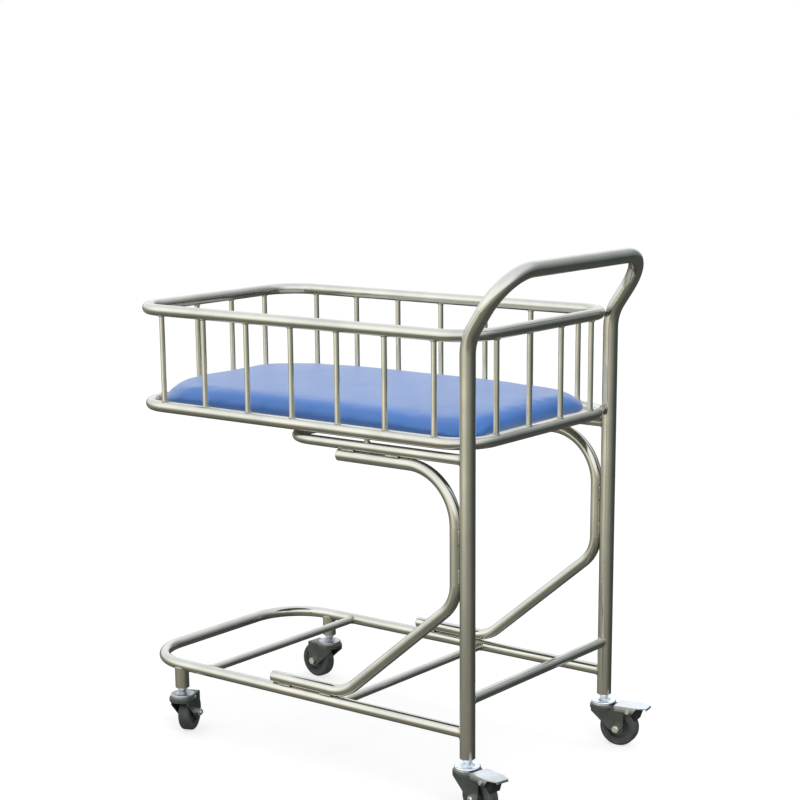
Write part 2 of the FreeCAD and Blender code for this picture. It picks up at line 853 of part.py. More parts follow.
def main():
    """Write one STEP file for each node."""
    os.makedirs("parts", exist_ok=True)
    nodes = frame_pieces()
    for place, caster in CASTERS.items():
        for piece, shape in caster_pieces(caster["braked"]).items():
            shape.rotate(Vector(0, 0, 0), Z_AXIS, caster["heading"])
            shape.translate(Vector(caster["x"], caster["y"], 0))
            nodes[f"{place}_{piece}"] = shape
    for node, shape in nodes.items():
        shape.exportStep(f"parts/{node}.step")


main()
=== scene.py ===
"""Visual model of a stainless steel hospital bassinet trolley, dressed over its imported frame."""

import logging
import math
from dataclasses import dataclass, field
from enum import Enum

import bmesh
import bpy
import numpy as np
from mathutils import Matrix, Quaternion, Vector


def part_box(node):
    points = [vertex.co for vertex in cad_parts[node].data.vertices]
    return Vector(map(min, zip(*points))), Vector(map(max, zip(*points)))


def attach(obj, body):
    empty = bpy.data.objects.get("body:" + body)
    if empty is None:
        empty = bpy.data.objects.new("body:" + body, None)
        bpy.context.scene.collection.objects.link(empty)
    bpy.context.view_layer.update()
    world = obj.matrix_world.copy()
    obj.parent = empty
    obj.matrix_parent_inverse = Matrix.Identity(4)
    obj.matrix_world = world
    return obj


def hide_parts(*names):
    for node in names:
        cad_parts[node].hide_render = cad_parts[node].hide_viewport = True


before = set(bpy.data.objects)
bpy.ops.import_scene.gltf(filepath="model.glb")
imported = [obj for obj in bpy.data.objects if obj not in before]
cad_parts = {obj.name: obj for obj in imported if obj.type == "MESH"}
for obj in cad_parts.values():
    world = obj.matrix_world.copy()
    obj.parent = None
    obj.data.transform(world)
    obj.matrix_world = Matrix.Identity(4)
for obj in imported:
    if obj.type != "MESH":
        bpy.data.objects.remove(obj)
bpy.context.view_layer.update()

LOG = logging.getLogger("bassinet")
X = np.array([1.0, 0.0, 0.0])
Y = np.array([0.0, 1.0, 0.0])
Z = np.array([0.0, 0.0, 1.0])
Pair = tuple[float, float]
Triple = tuple[float, float, float]
Colour = Triple
Stops = tuple[tuple[float, Colour], ...]


# ---------------------------------------------------------------- node bench


@dataclass
class NodeBench:
    """Short ways to build one node tree.

    Args:
        tree: the node tree that the nodes go into.
    """

    tree: bpy.types.NodeTree

    def add(self, kind: str, **settings: object) -> bpy.types.Node:
        """Adds a node and sets its properties.

        Args:
            kind: the node's type name.
            settings: properties of the node and their values.

        Returns:
            The new node.
        """
        node = self.tree.nodes.new(kind)
        for name, value in settings.items():
            setattr(node, name, value)
        return node

    def put(self, socket: bpy.types.NodeSocket, value: object) -> None:
        """Links a socket to an input, or sets a plain value on it.

        Args:
            socket: the input.
            value: a socket to link or a plain value to set.
        """
        if isinstance(value, bpy.types.NodeSocket):
            self.tree.links.new(value, socket)
        else:
            socket.default_value = value

    def feed(self, node: bpy.types.Node, **values: object) -> bpy.types.Node:
        """Sets or links inputs of a node by name, with underscores for spaces.

        Args:
            node: the node to feed.
            values: input names, with a socket to link or a plain value to set.

        Returns:
            The same node.
        """
        for name, value in values.items():
            self.put(node.inputs[name.replace("_", " ")], value)
        return node

    def place(self, stretch: Triple = (1.0, 1.0, 1.0)) -> bpy.types.NodeSocket:
        """Object coordinates, stretched.

        Args:
            stretch: how much denser the pattern is along each axis.

        Returns:
            The vector socket.
        """
        where = self.add("ShaderNodeTexCoord").outputs["Object"]
        mapping = self.feed(self.add("ShaderNodeMapping"), Vector=where, Scale=stretch)
        return mapping.outputs["Vector"]

    def axes(self, where: bpy.types.NodeSocket) -> bpy.types.bpy_prop_collection:
        """The X, Y and Z outputs that a vector splits into."""
        return self.feed(self.add("ShaderNodeSeparateXYZ"), Vector=where).outputs

    def noise(
        self, where: bpy.types.NodeSocket, scale: float, detail: float = 2.0
    ) -> bpy.types.NodeSocket:
        """Value of a noise texture.

        Args:
            where: the vector that it reads.
            scale: patches per metre.
            detail: octaves.

        Returns:
            The value socket.
        """
        node = self.add("ShaderNodeTexNoise")
        return self.feed(node, Vector=where, Scale=scale, Detail=detail).outputs["Fac"]

    def remap(
        self,
        value: bpy.types.NodeSocket,
        source: Pair,
        target: Pair = (0.0, 1.0),
    ) -> bpy.types.NodeSocket:
        """A value carried from one span to another, clamped to the second.

        Args:
            value: the value socket.
            source: span that it comes in.
            target: span that it goes out in.

        Returns:
            The new value socket.
        """
        node = self.feed(self.add("ShaderNodeMapRange"), Value=value)
        for name, number in zip(("From Min", "From Max", "To Min", "To Max"), source + target):
            node.inputs[name].default_value = number
        return node.outputs["Result"]

    def blend(
        self, amount: bpy.types.NodeSocket, first: object, second: object
    ) -> bpy.types.NodeSocket:
        """Two colours mixed by an amount.

        Args:
            amount: 0 for the first colour, 1 for the second.
            first: a colour or a colour socket.
            second: a colour or a colour socket.

        Returns:
            The colour socket.
        """
        node = self.add("ShaderNodeMix", data_type="RGBA")
        self.put(node.inputs["Factor"], amount)
        for name, value in (("A", first), ("B", second)):
            socket = next(s for s in node.inputs if s.name == name and s.type == "RGBA")
            self.put(socket, value if isinstance(value, bpy.types.NodeSocket) else (*value, 1.0))
        return next(s for s in node.outputs if s.type == "RGBA")

    def mix(
        self,
        amount: bpy.types.NodeSocket,
        first: bpy.types.NodeSocket,
        second: bpy.types.NodeSocket,
    ) -> bpy.types.NodeSocket:
        """Two shaders mixed by an amount.

        Args:
            amount: 0 for the first shader, 1 for the second.
            first: a shader socket.
            second: a shader socket.

        Returns:
            The shader socket.
        """
        node = self.add("ShaderNodeMixShader")
        for socket, value in zip(node.inputs, (amount, first, second)):
            self.put(socket, value)
        return node.outputs[0]

    def math(self, operation: str, first: object, second: object = 0.0) -> bpy.types.NodeSocket:
        """One arithmetic step.

        Args:
            operation: the Math node's operation.
            first: a socket or a number.
            second: a socket or a number.

        Returns:
            The value socket.
        """
        node = self.add("ShaderNodeMath", operation=operation)
        for socket, value in zip(node.inputs, (first, second)):
            self.put(socket, value)
        return node.outputs["Value"]

    def bump(
        self,
        height: bpy.types.NodeSocket,
        strength: float,
        distance: float,
        under: bpy.types.NodeSocket | None = None,
    ) -> bpy.types.NodeSocket:
        """A bumped normal.

        Args:
            height: the height socket.
            strength: how strongly it shows.
            distance: height of a full step, metres.
            under: a normal that it adds to.

        Returns:
            The normal socket.
        """
        node = self.feed(
            self.add("ShaderNodeBump"), Height=height, Strength=strength, Distance=distance
        )
        if under is not None:
            self.put(node.inputs["Normal"], under)
        return node.outputs["Normal"]


# ---------------------------------------------------------------- finishes


@dataclass(frozen=True)
class Finish:
    """A surface finish, made into one procedural material.

    Args:
        name: the material's name.
        colour: main colour, linear.
        shade: second colour of the slow variation.
        patch: patches of the variation per metre.
        roughness: smoothest and roughest value.
        grain: fine bumps per metre.
        grain_depth: height of the fine bumps, metres.
        metallic: 1 for bare metal.
        specular: strength of the clear reflection on what isn't metal.
        mottle: span of the slow noise over which the colour changes.
        marks: handling marks in one patch.
        marks_span: span of their noise over which the roughness changes.
    """

    name: str
    colour: Colour
    shade: Colour
    patch: float = 9.0
    roughness: Pair = (0.3, 0.45)
    grain: float = 900.0
    grain_depth: float = 0.00002
    metallic: float = 0.0
    specular: float = 0.5
    mottle: Pair = (0.35, 0.65)
    marks: float = 2.3
    marks_span: Pair = (0.3, 0.7)

    def stretch(self) -> Triple:
        """Density of the fine grain along each axis."""
        return (1.0, 1.0, 1.0)

    def height(self, bench: NodeBench) -> bpy.types.NodeSocket:
        """Fine height of the surface: noise at the grain's density."""
        return bench.noise(bench.place(self.stretch()), self.grain, detail=3.0)

    def tint(self, bench: NodeBench) -> bpy.types.NodeSocket:
        """Colour of the surface: the two colours in slow patches."""
        patches = bench.noise(bench.place(), self.patch, detail=4.0)
        return bench.blend(bench.remap(patches, self.mottle), self.colour, self.shade)

    def gloss(self, bench: NodeBench) -> bpy.types.NodeSocket:
        """Roughness of the surface: handling marks in slower and finer patches."""
        slow = bench.noise(bench.place(), self.patch * self.marks, detail=5.0)
        return bench.remap(slow, self.marks_span, self.roughness)

    def extras(self, bench: NodeBench, shader: bpy.types.Node) -> None:
        """Settings of the shader that only some finishes have."""

    def build(self) -> bpy.types.Material:
        """Makes the material.

        Returns:
            The material, with all its nodes.
        """
        material = bpy.data.materials.new(self.name)
        material.use_nodes = True
        bench = NodeBench(material.node_tree)
        shader = material.node_tree.nodes["Principled BSDF"]
        shader.inputs["Metallic"].default_value = self.metallic
        shader.inputs["Specular IOR Level"].default_value = self.specular
        bench.feed(
            shader,
            Base_Color=self.tint(bench),
            Roughness=self.gloss(bench),
            Normal=bench.bump(self.height(bench), 1.0, self.grain_depth),
        )
        self.extras(bench, shader)
        material.diffuse_color = (*self.colour, 1.0)
        return material


@dataclass(frozen=True)
class Metal(Finish):
    """Plain metal, such as weld, bearing steel or brass.

    Args:
        metallic: 1 for bare metal, less where it is dull.
    """

    metallic: float = 1.0


@dataclass(frozen=True)
class PolishedTube(Metal):
    """Bright polished stainless tube, with faint wipe marks and specks.

    Args:
        wipe_span: span of the wipe marks' noise over which the roughness changes.
        specks: matt specks per metre.
        speck_span: span of the specks' noise over which they show.
        speck_depth: roughness that a speck adds.
    """

    wipe_span: Pair = (0.35, 0.7)
    specks: float = 260.0
    speck_span: Pair = (0.68, 0.76)
    speck_depth: float = 0.05

    def gloss(self, bench: NodeBench) -> bpy.types.NodeSocket:
        """Roughness: broad wipe marks, with small matt specks over them.

        Args:
            bench: the material's bench.

        Returns:
            The roughness socket.
        """
        where = bench.place()
        wiped = bench.noise(where, self.patch, detail=5.0)
        wiped = bench.remap(wiped, self.wipe_span, self.roughness)
        specks = bench.noise(where, self.specks)
        specks = bench.remap(specks, self.speck_span, (0.0, self.speck_depth))
        return bench.math("ADD", wiped, specks)


@dataclass(frozen=True)
class BrushedSheet(Metal):
    """Rolled stainless sheet, with a grain along X.

    Args:
        drawn: density of the grain along X, as a share of that across it.
    """

    drawn: float = 0.02

    def stretch(self) -> Triple:
        """The grain is drawn out along X."""
        return (self.drawn, 1.0, 1.0)


@dataclass(frozen=True)
class ZincPlating(Metal):
    """Bright zinc plate, with small crystal patches.

    Args:
        crystals: crystal cells in one patch.
    """

    crystals: float = 40.0

    def tint(self, bench: NodeBench) -> bpy.types.NodeSocket:
        """Colour: each crystal cell takes its own mix of the two colours.

        Args:
            bench: the material's bench.

        Returns:
            The colour socket.
        """
        cells = bench.add("ShaderNodeTexVoronoi")
        bench.feed(cells, Vector=bench.place(), Scale=self.patch * self.crystals)
        level = bench.feed(bench.add("ShaderNodeSeparateColor"), Color=cells.outputs["Color"])
        return bench.blend(level.outputs["Red"], self.colour, self.shade)


@dataclass(frozen=True)
class PressedPedal(ZincPlating):
    """Zinc plate with a bright top, and painted shade toward the lower edge of its flanges.

    Args:
        painted_shade: colour of the painted shade at the lower edge.
        top: height above which the flanges carry no painted shade, metres.
        fade: how far below that the painted shade is full, metres.
    """

    painted_shade: Colour = (0.1, 0.105, 0.105)
    top: float = 0.0
    fade: float = 0.01

    def tint(self, bench: NodeBench) -> bpy.types.NodeSocket:
        """Colour: painted shade on the lower flanges, giving way upward to the plate's crystals.

        Args:
            bench: the material's bench.

        Returns:
            The colour socket.
        """
        height = bench.axes(bench.place())["Z"]
        # Painted shade: below the top the flanges fade to a dark colour that stands in for the
        # shade on the pedal's sides.
        unshaded = bench.remap(height, (self.top - self.fade, self.top))
        return bench.blend(unshaded, self.painted_shade, super().tint(bench))


@dataclass(frozen=True)
class CoatedCloth(Finish):
    """Wipe-clean mattress cover: a fine plain weave under a thin soft coating.

    Args:
        lean: how far the threads move along per metre of height, so that they show on the sides.
        sheen: weight of the coating's sheen.
        sheen_roughness: its roughness.
        dents: slow dents per metre.
        dent_strength: how strongly they show.
        dent_depth: their height, metres.
    """

    lean: float = 0.8
    sheen: float = 0.5
    sheen_roughness: float = 0.35
    dents: float = 14.0
    dent_strength: float = 0.35
    dent_depth: float = 0.004

    def height(self, bench: NodeBench) -> bpy.types.NodeSocket:
        """Height: threads along X and along Y, each a sine wave, and the higher of the two.

        Args:
            bench: the material's bench.

        Returns:
            The height socket.
        """
        axes = bench.axes(bench.place())
        waves = []
        for name in ("X", "Y"):
            along = bench.math("ADD", axes[name], bench.math("MULTIPLY", axes["Z"], self.lean))
            turns = bench.math("MULTIPLY", along, self.grain * math.tau)
            waves.append(bench.math("SINE", turns))
        return bench.remap(bench.math("MAXIMUM", *waves), (-1.0, 1.0))

    def extras(self, bench: NodeBench, shader: bpy.types.Node) -> None:
        """A soft sheen, and slow dents over the weave.

        Args:
            bench: the material's bench.
            shader: the material's shader.
        """
        shader.inputs["Sheen Weight"].default_value = self.sheen
        shader.inputs["Sheen Roughness"].default_value = self.sheen_roughness
        weave = shader.inputs["Normal"].links[0].from_socket
        dents = bench.noise(bench.place(), self.dents)
        dented = bench.bump(dents, self.dent_strength, self.dent_depth, weave)
        bench.put(shader.inputs["Normal"], dented)


@dataclass(frozen=True)
class MouldedRubber(Finish):
    """Moulded rubber or plastic, with a dusty bloom in patches.

    Args:
        bloom: dusty places in one patch.
        dust: dust specks per metre.
        dust_share: how much the specks count beside the broad bloom.
        dust_span: span of the two together over which the dust shows.
    """

    bloom: float = 6.0
    dust: float = 700.0
    dust_share: float = 0.35
    dust_span: Pair = (0.55, 0.85)

    def tint(self, bench: NodeBench) -> bpy.types.NodeSocket:
        """Colour: dust settles in broad patches and in fine specks.

        Args:
            bench: the material's bench.

        Returns:
            The colour socket.
        """
        where = bench.place()
        broad = bench.noise(where, self.patch * self.bloom, detail=5.0)
        fine = bench.noise(where, self.dust)
        both = bench.math("ADD", broad, bench.math("MULTIPLY", fine, self.dust_share))
        return bench.blend(bench.remap(both, self.dust_span), self.colour, self.shade)


STAINLESS_TUBE = PolishedTube(
    "stainless_tube_polished", (0.60, 0.585, 0.54), (0.52, 0.51, 0.475),
    patch=16.0, roughness=(0.10, 0.18), grain=420.0, grain_depth=0.000008,
)
STAINLESS_BAR = PolishedTube(
    "stainless_bar_bright", (0.74, 0.73, 0.68), (0.66, 0.65, 0.605),
    patch=24.0, roughness=(0.11, 0.18), grain=420.0, grain_depth=0.000008,
)
STAINLESS_SHEET = BrushedSheet(
    "stainless_sheet_brushed", (0.55, 0.55, 0.53), (0.47, 0.47, 0.455),
    roughness=(0.28, 0.4), grain=2500.0, grain_depth=0.00003,
)
STAINLESS_CAP = PolishedTube(
    "stainless_cap_pressed", (0.58, 0.57, 0.54), (0.5, 0.49, 0.46),
    patch=60.0, roughness=(0.2, 0.34), grain=700.0, grain_depth=0.00001,
)
WELD = Metal(
    "weld_bead", (0.50, 0.475, 0.41), (0.36, 0.34, 0.31),
    patch=70.0, roughness=(0.28, 0.48), grain=800.0, grain_depth=0.00006,
)
COVER = CoatedCloth(
    "mattress_cover_blue", (0.030, 0.165, 0.545), (0.038, 0.182, 0.58),
    patch=5.0, roughness=(0.30, 0.38), grain_depth=0.00008, specular=0.8,
)
ZINC = ZincPlating(
    "zinc_bright", (0.88, 0.92, 0.98), (0.74, 0.79, 0.85), roughness=(0.22, 0.36)
)
# Painted shade: a darker copy of the bright zinc for the plain front casters, standing in for the
# shade that they lie in.
PAINTED_SHADE_ZINC = ZincPlating(
    "zinc_painted_shade", (0.50, 0.52, 0.54), (0.40, 0.42, 0.44), grain_depth=0.00003
)
PEDAL_BEND = 0.003
PEDAL_ZINC = PressedPedal(
    "zinc_pedal", (0.74, 0.77, 0.81), (0.62, 0.65, 0.69),
    roughness=(0.26, 0.42), grain=700.0, grain_depth=0.00004,
    top=float(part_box("rear_near_brake_pedal")[1][2]) - PEDAL_BEND,
)
BOLT_ZINC = ZincPlating(
    "zinc_bolt", (0.88, 0.89, 0.88), (0.72, 0.73, 0.71),
    patch=12.0, roughness=(0.18, 0.3), grain=1200.0,
)
FORK_STEEL = Metal(
    "fork_steel", (0.135, 0.152, 0.148), (0.095, 0.107, 0.104),
    patch=30.0, roughness=(0.3, 0.48), grain_depth=0.00005, metallic=0.85,
)
BALL_STEEL = Metal(
    "bearing_steel", (0.6, 0.6, 0.6), (0.5, 0.5, 0.5),
    roughness=(0.08, 0.2), grain_depth=0.000005,
)
BUSH_BRASS = Metal(
    "bush_brass", (0.62, 0.45, 0.2), (0.5, 0.36, 0.16),
    patch=60.0, roughness=(0.25, 0.4),
)
HUB_PLASTIC = MouldedRubber(
    "hub_plastic_grey", (0.05, 0.057, 0.06), (0.08, 0.087, 0.09),
    roughness=(0.38, 0.55), grain_depth=0.00005,
)
TYRE_RUBBER = MouldedRubber(
    "tyre_rubber_grey", (0.046, 0.051, 0.053), (0.085, 0.09, 0.09),
    roughness=(0.4, 0.55), grain_depth=0.00006, specular=0.6,
)
SHOE_RUBBER = MouldedRubber(
    "shoe_rubber_black", (0.014, 0.015, 0.017), (0.03, 0.03, 0.032),
    roughness=(0.5, 0.7), grain_depth=0.00008, specular=0.4,
)


@dataclass
class PaintShop:
    """Builds each finish once and puts it on pieces.

    Args:
        made: the materials made so far, by finish name.
    """

    made: dict[str, bpy.types.Material] = field(default_factory=dict)

    def material(self, finish: Finish) -> bpy.types.Material:
        """The finish's material, made when it is first asked for.

        Args:
            finish: the finish.

        Returns:
            Its material.
        """
        if finish.name not in self.made:
            self.made[finish.name] = finish.build()
        return self.made[finish.name]

    def coat_node(self, node: str, finish: Finish) -> None:
        """Puts a finish on a CAD node.

        Args:
            node: the node's name.
            finish: the finish that it gets.
        """
        material = self.material(finish)
        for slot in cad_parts[node].material_slots:
            slot.material = material
        LOG.info("coated %s with %s", node, finish.name)

    def coat_piece(self, piece: bpy.types.Object, finish: Finish) -> None:
        """Puts a finish on a new piece.

        Args:
            piece: the new piece.
            finish: the finish that it gets.
        """
        piece.data.materials.clear()
        piece.data.materials.append(self.material(finish))


# ---------------------------------------------------------------- surfaces


def grid_faces(rows: int, columns: int, closed: bool) -> np.ndarray:
    """Corner indices of a grid's quads: each joins (i, j), (i+1, j), (i+1, j+1), (i, j+1).

    Each row closes on itself, as round a tube.

    Args:
        rows: points along the first parameter.
        columns: points along the second.
        closed: whether the last row joins the first.

    Returns:
        An array of four indices per quad.
    """
    i, j = np.meshgrid(np.arange(rows if closed else rows - 1), np.arange(columns), indexing="ij")
    i, j = i.ravel(), j.ravel()
    down, right = (i + 1) % rows, (j + 1) % columns
    return np.stack(
        [i * columns + j, down * columns + j, down * columns + right, i * columns + right], axis=1
    )


@dataclass
class SurfaceSet:
    """Several grids gathered into one mesh object.

    Args:
        name: the object's name.
        points: the grids' points so far.
        faces: their quads so far.
        count: how many points there are.
    """

    name: str
    points: list[np.ndarray] = field(default_factory=list)
    faces: list[np.ndarray] = field(default_factory=list)
    count: int = 0

    def add(self, points: np.ndarray, closed: bool) -> None:
        """Adds a grid of points.

        Args:
            points: array of rows by columns by 3.
            closed: whether the last row joins the first.
        """
        rows, columns, _ = points.shape
        self.faces.append(grid_faces(rows, columns, closed) + self.count)
        self.points.append(points.reshape(-1, 3))
        self.count += rows * columns

    def build(self) -> bpy.types.Object:
        """Makes the object, smooth and at the origin.

        Returns:
            The new object.
        """
        mesh = bpy.data.meshes.new(self.name)
        mesh.from_pydata(np.concatenate(self.points), [], np.concatenate(self.faces))
        mesh.shade_smooth()
        piece = bpy.data.objects.new(self.name, mesh)
        bpy.context.scene.collection.objects.link(piece)
        return piece


# ---------------------------------------------------------------- welds


@dataclass
class WeldRun:
    """One kind of weld bead: a rippled round strip carried along a line.

    Args:
        radius: half the bead's width, metres.
        around: points round the strip.
        ripple_pitch: length of one ripple of the bead, metres.
        ripple: ripple height as a share of the radius.
        taper: power by which an open bead's ends fall away.
        tip: least value under the root that shapes the ends.
        step: distance of the points along a straight bead, metres.
        fewest: points that a straight bead has at least.
    """

    radius: float = 0.0017
    around: int = 8
    ripple_pitch: float = 0.0016
    ripple: float = 0.12
    taper: int = 6
    tip: float = 0.02
    step: float = 0.0008
    fewest: int = 12

    def lay(self, beads: SurfaceSet, path: np.ndarray, aside: np.ndarray, closed: bool) -> None:
        """Adds a bead along a line.

        Each path point p with tangent t gets the ring p + r (cos(a) s + sin(a) u), where s is the
        unit of t x aside, u the unit of s x t, and r swells in ripples along the path. On an open
        bead, r is also multiplied by the root of 1 less the taper's power of the share of the way
        from the middle to an end, with the tip as the least value under that root.

        Args:
            beads: gathers the beads.
            path: the line, points by 3.
            aside: a direction that the line never follows.
            closed: whether the line is a loop.
        """
        if closed:
            tangent = np.roll(path, -1, axis=0) - np.roll(path, 1, axis=0)
        else:
            tangent = np.gradient(path, axis=0)
        tangent /= np.linalg.norm(tangent, axis=1, keepdims=True)
        side = np.cross(tangent, aside)
        side /= np.linalg.norm(side, axis=1, keepdims=True)
        up = np.cross(side, tangent)
        steps = np.linalg.norm(np.diff(path, axis=0, append=path[:1]), axis=1)
        travelled = np.concatenate([[0.0], np.cumsum(steps)[:-1]])
        swell = 1.0 + self.ripple * np.sin(math.tau * travelled / self.ripple_pitch)
        if not closed:
            share = np.linspace(-1.0, 1.0, len(path))
            swell *= np.clip(1.0 - share**self.taper, self.tip, 1.0) ** 0.5
        angle = np.linspace(0.0, math.tau, self.around, endpoint=False)[None, :, None]
        ring = np.cos(angle) * side[:, None] + np.sin(angle) * up[:, None]
        beads.add(path[:, None] + self.radius * swell[:, None, None] * ring, closed)

    def around_branch(
        self,
        beads: SurfaceSet,
        centre: np.ndarray,
        axes: tuple[np.ndarray, np.ndarray],
        radii: Pair,
        points: int,
    ) -> None:
        """Adds the bead where a branch tube ends on a main tube.

        With c the cross product of branch and main axes, the line is
        centre + rb (cos(a) main + sin(a) c) + branch sqrt(rm^2 - (rb sin(a))^2).

        Args:
            beads: gathers the beads.
            centre: where the two axes meet.
            axes: unit axes of the branch, away from the main tube, and of the main tube.
            radii: rb and rm, metres.
            points: points along the bead.
        """
        (branch, main), (branch_radius, main_radius) = axes, radii
        angle = np.linspace(0.0, math.tau, points, endpoint=False)[:, None]
        third = np.cross(branch, main)
        round_branch = branch_radius * (np.cos(angle) * main + np.sin(angle) * third)
        rise = np.sqrt(np.maximum(main_radius**2 - (branch_radius * np.sin(angle)) ** 2, 0.0))
        self.lay(beads, centre + round_branch + rise * branch, branch, True)

    def straight(
        self, beads: SurfaceSet, start: np.ndarray, end: np.ndarray, aside: np.ndarray
    ) -> None:
        """Adds a bead along a straight line, tapered at both ends.

        Args:
            beads: gathers the beads.
            start: first point.
            end: last point.
            aside: a direction across the line.
        """
        count = max(self.fewest, int(np.linalg.norm(end - start) / self.step))
        share = np.linspace(0.0, 1.0, count)[:, None]
        self.lay(beads, start + share * (end - start), aside, False)


def middle_and_half(node: str) -> tuple[np.ndarray, np.ndarray]:
    """Centre and half sizes of a CAD node's box, metres."""
    low, high = (np.array(corner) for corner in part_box(node))
    return (low + high) / 2, (high - low) / 2


def middle_height(node: str) -> float:
    """Height of the centre of a CAD node's box, metres."""
    return middle_and_half(node)[0][2]


@dataclass
class BasketWelds:
    """Beads at both ends of every basket bar.

    Args:
        ring_radius: outer radius of the rings' tube.
        bar_radius: radius of a bar.
        side_bars: bars on each long side.
        end_bars: bars on each short side.
        points: points along one bead.
        run: the kind of bead.
    """

    ring_radius: float = 0.011
    bar_radius: float = 0.005
    side_bars: int = 7
    end_bars: int = 4
    points: int = 32
    run: WeldRun = field(default_factory=WeldRun)

    def bars(self, node: str, count: int, along: np.ndarray) -> np.ndarray:
        """Axis places of one row of bars.

        Args:
            node: the CAD node that holds the row.
            count: bars in the row.
            along: the row's direction.

        Returns:
            Points by 3, at the row's middle height.
        """
        middle, half = middle_and_half(node)
        reach = half @ along - self.bar_radius
        return middle + np.linspace(-reach, reach, count)[:, None] * along

    def build(self, shop: PaintShop) -> None:
        """Makes one object of beads for each row of bars.

        Args:
            shop: gives the finish.
        """
        rows = (
            ("near_bars", self.side_bars, X), ("far_bars", self.side_bars, X),
            ("head_bars", self.end_bars, Y), ("foot_bars", self.end_bars, Y),
        )
        levels = (("lower_ring", Z), ("upper_ring", -Z))
        radii = (self.bar_radius, self.ring_radius)
        for node, count, along in rows:
            beads = SurfaceSet(f"{node}_welds")
            for place in self.bars(node, count, along):
                for ring, away in levels:
                    centre = np.array([place[0], place[1], middle_height(ring)])
                    self.run.around_branch(beads, centre, (away, along), radii, self.points)
            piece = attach(beads.build(), "frame")
            shop.coat_piece(piece, WELD)
            LOG.info("welded %s: %d beads", node, 2 * count)


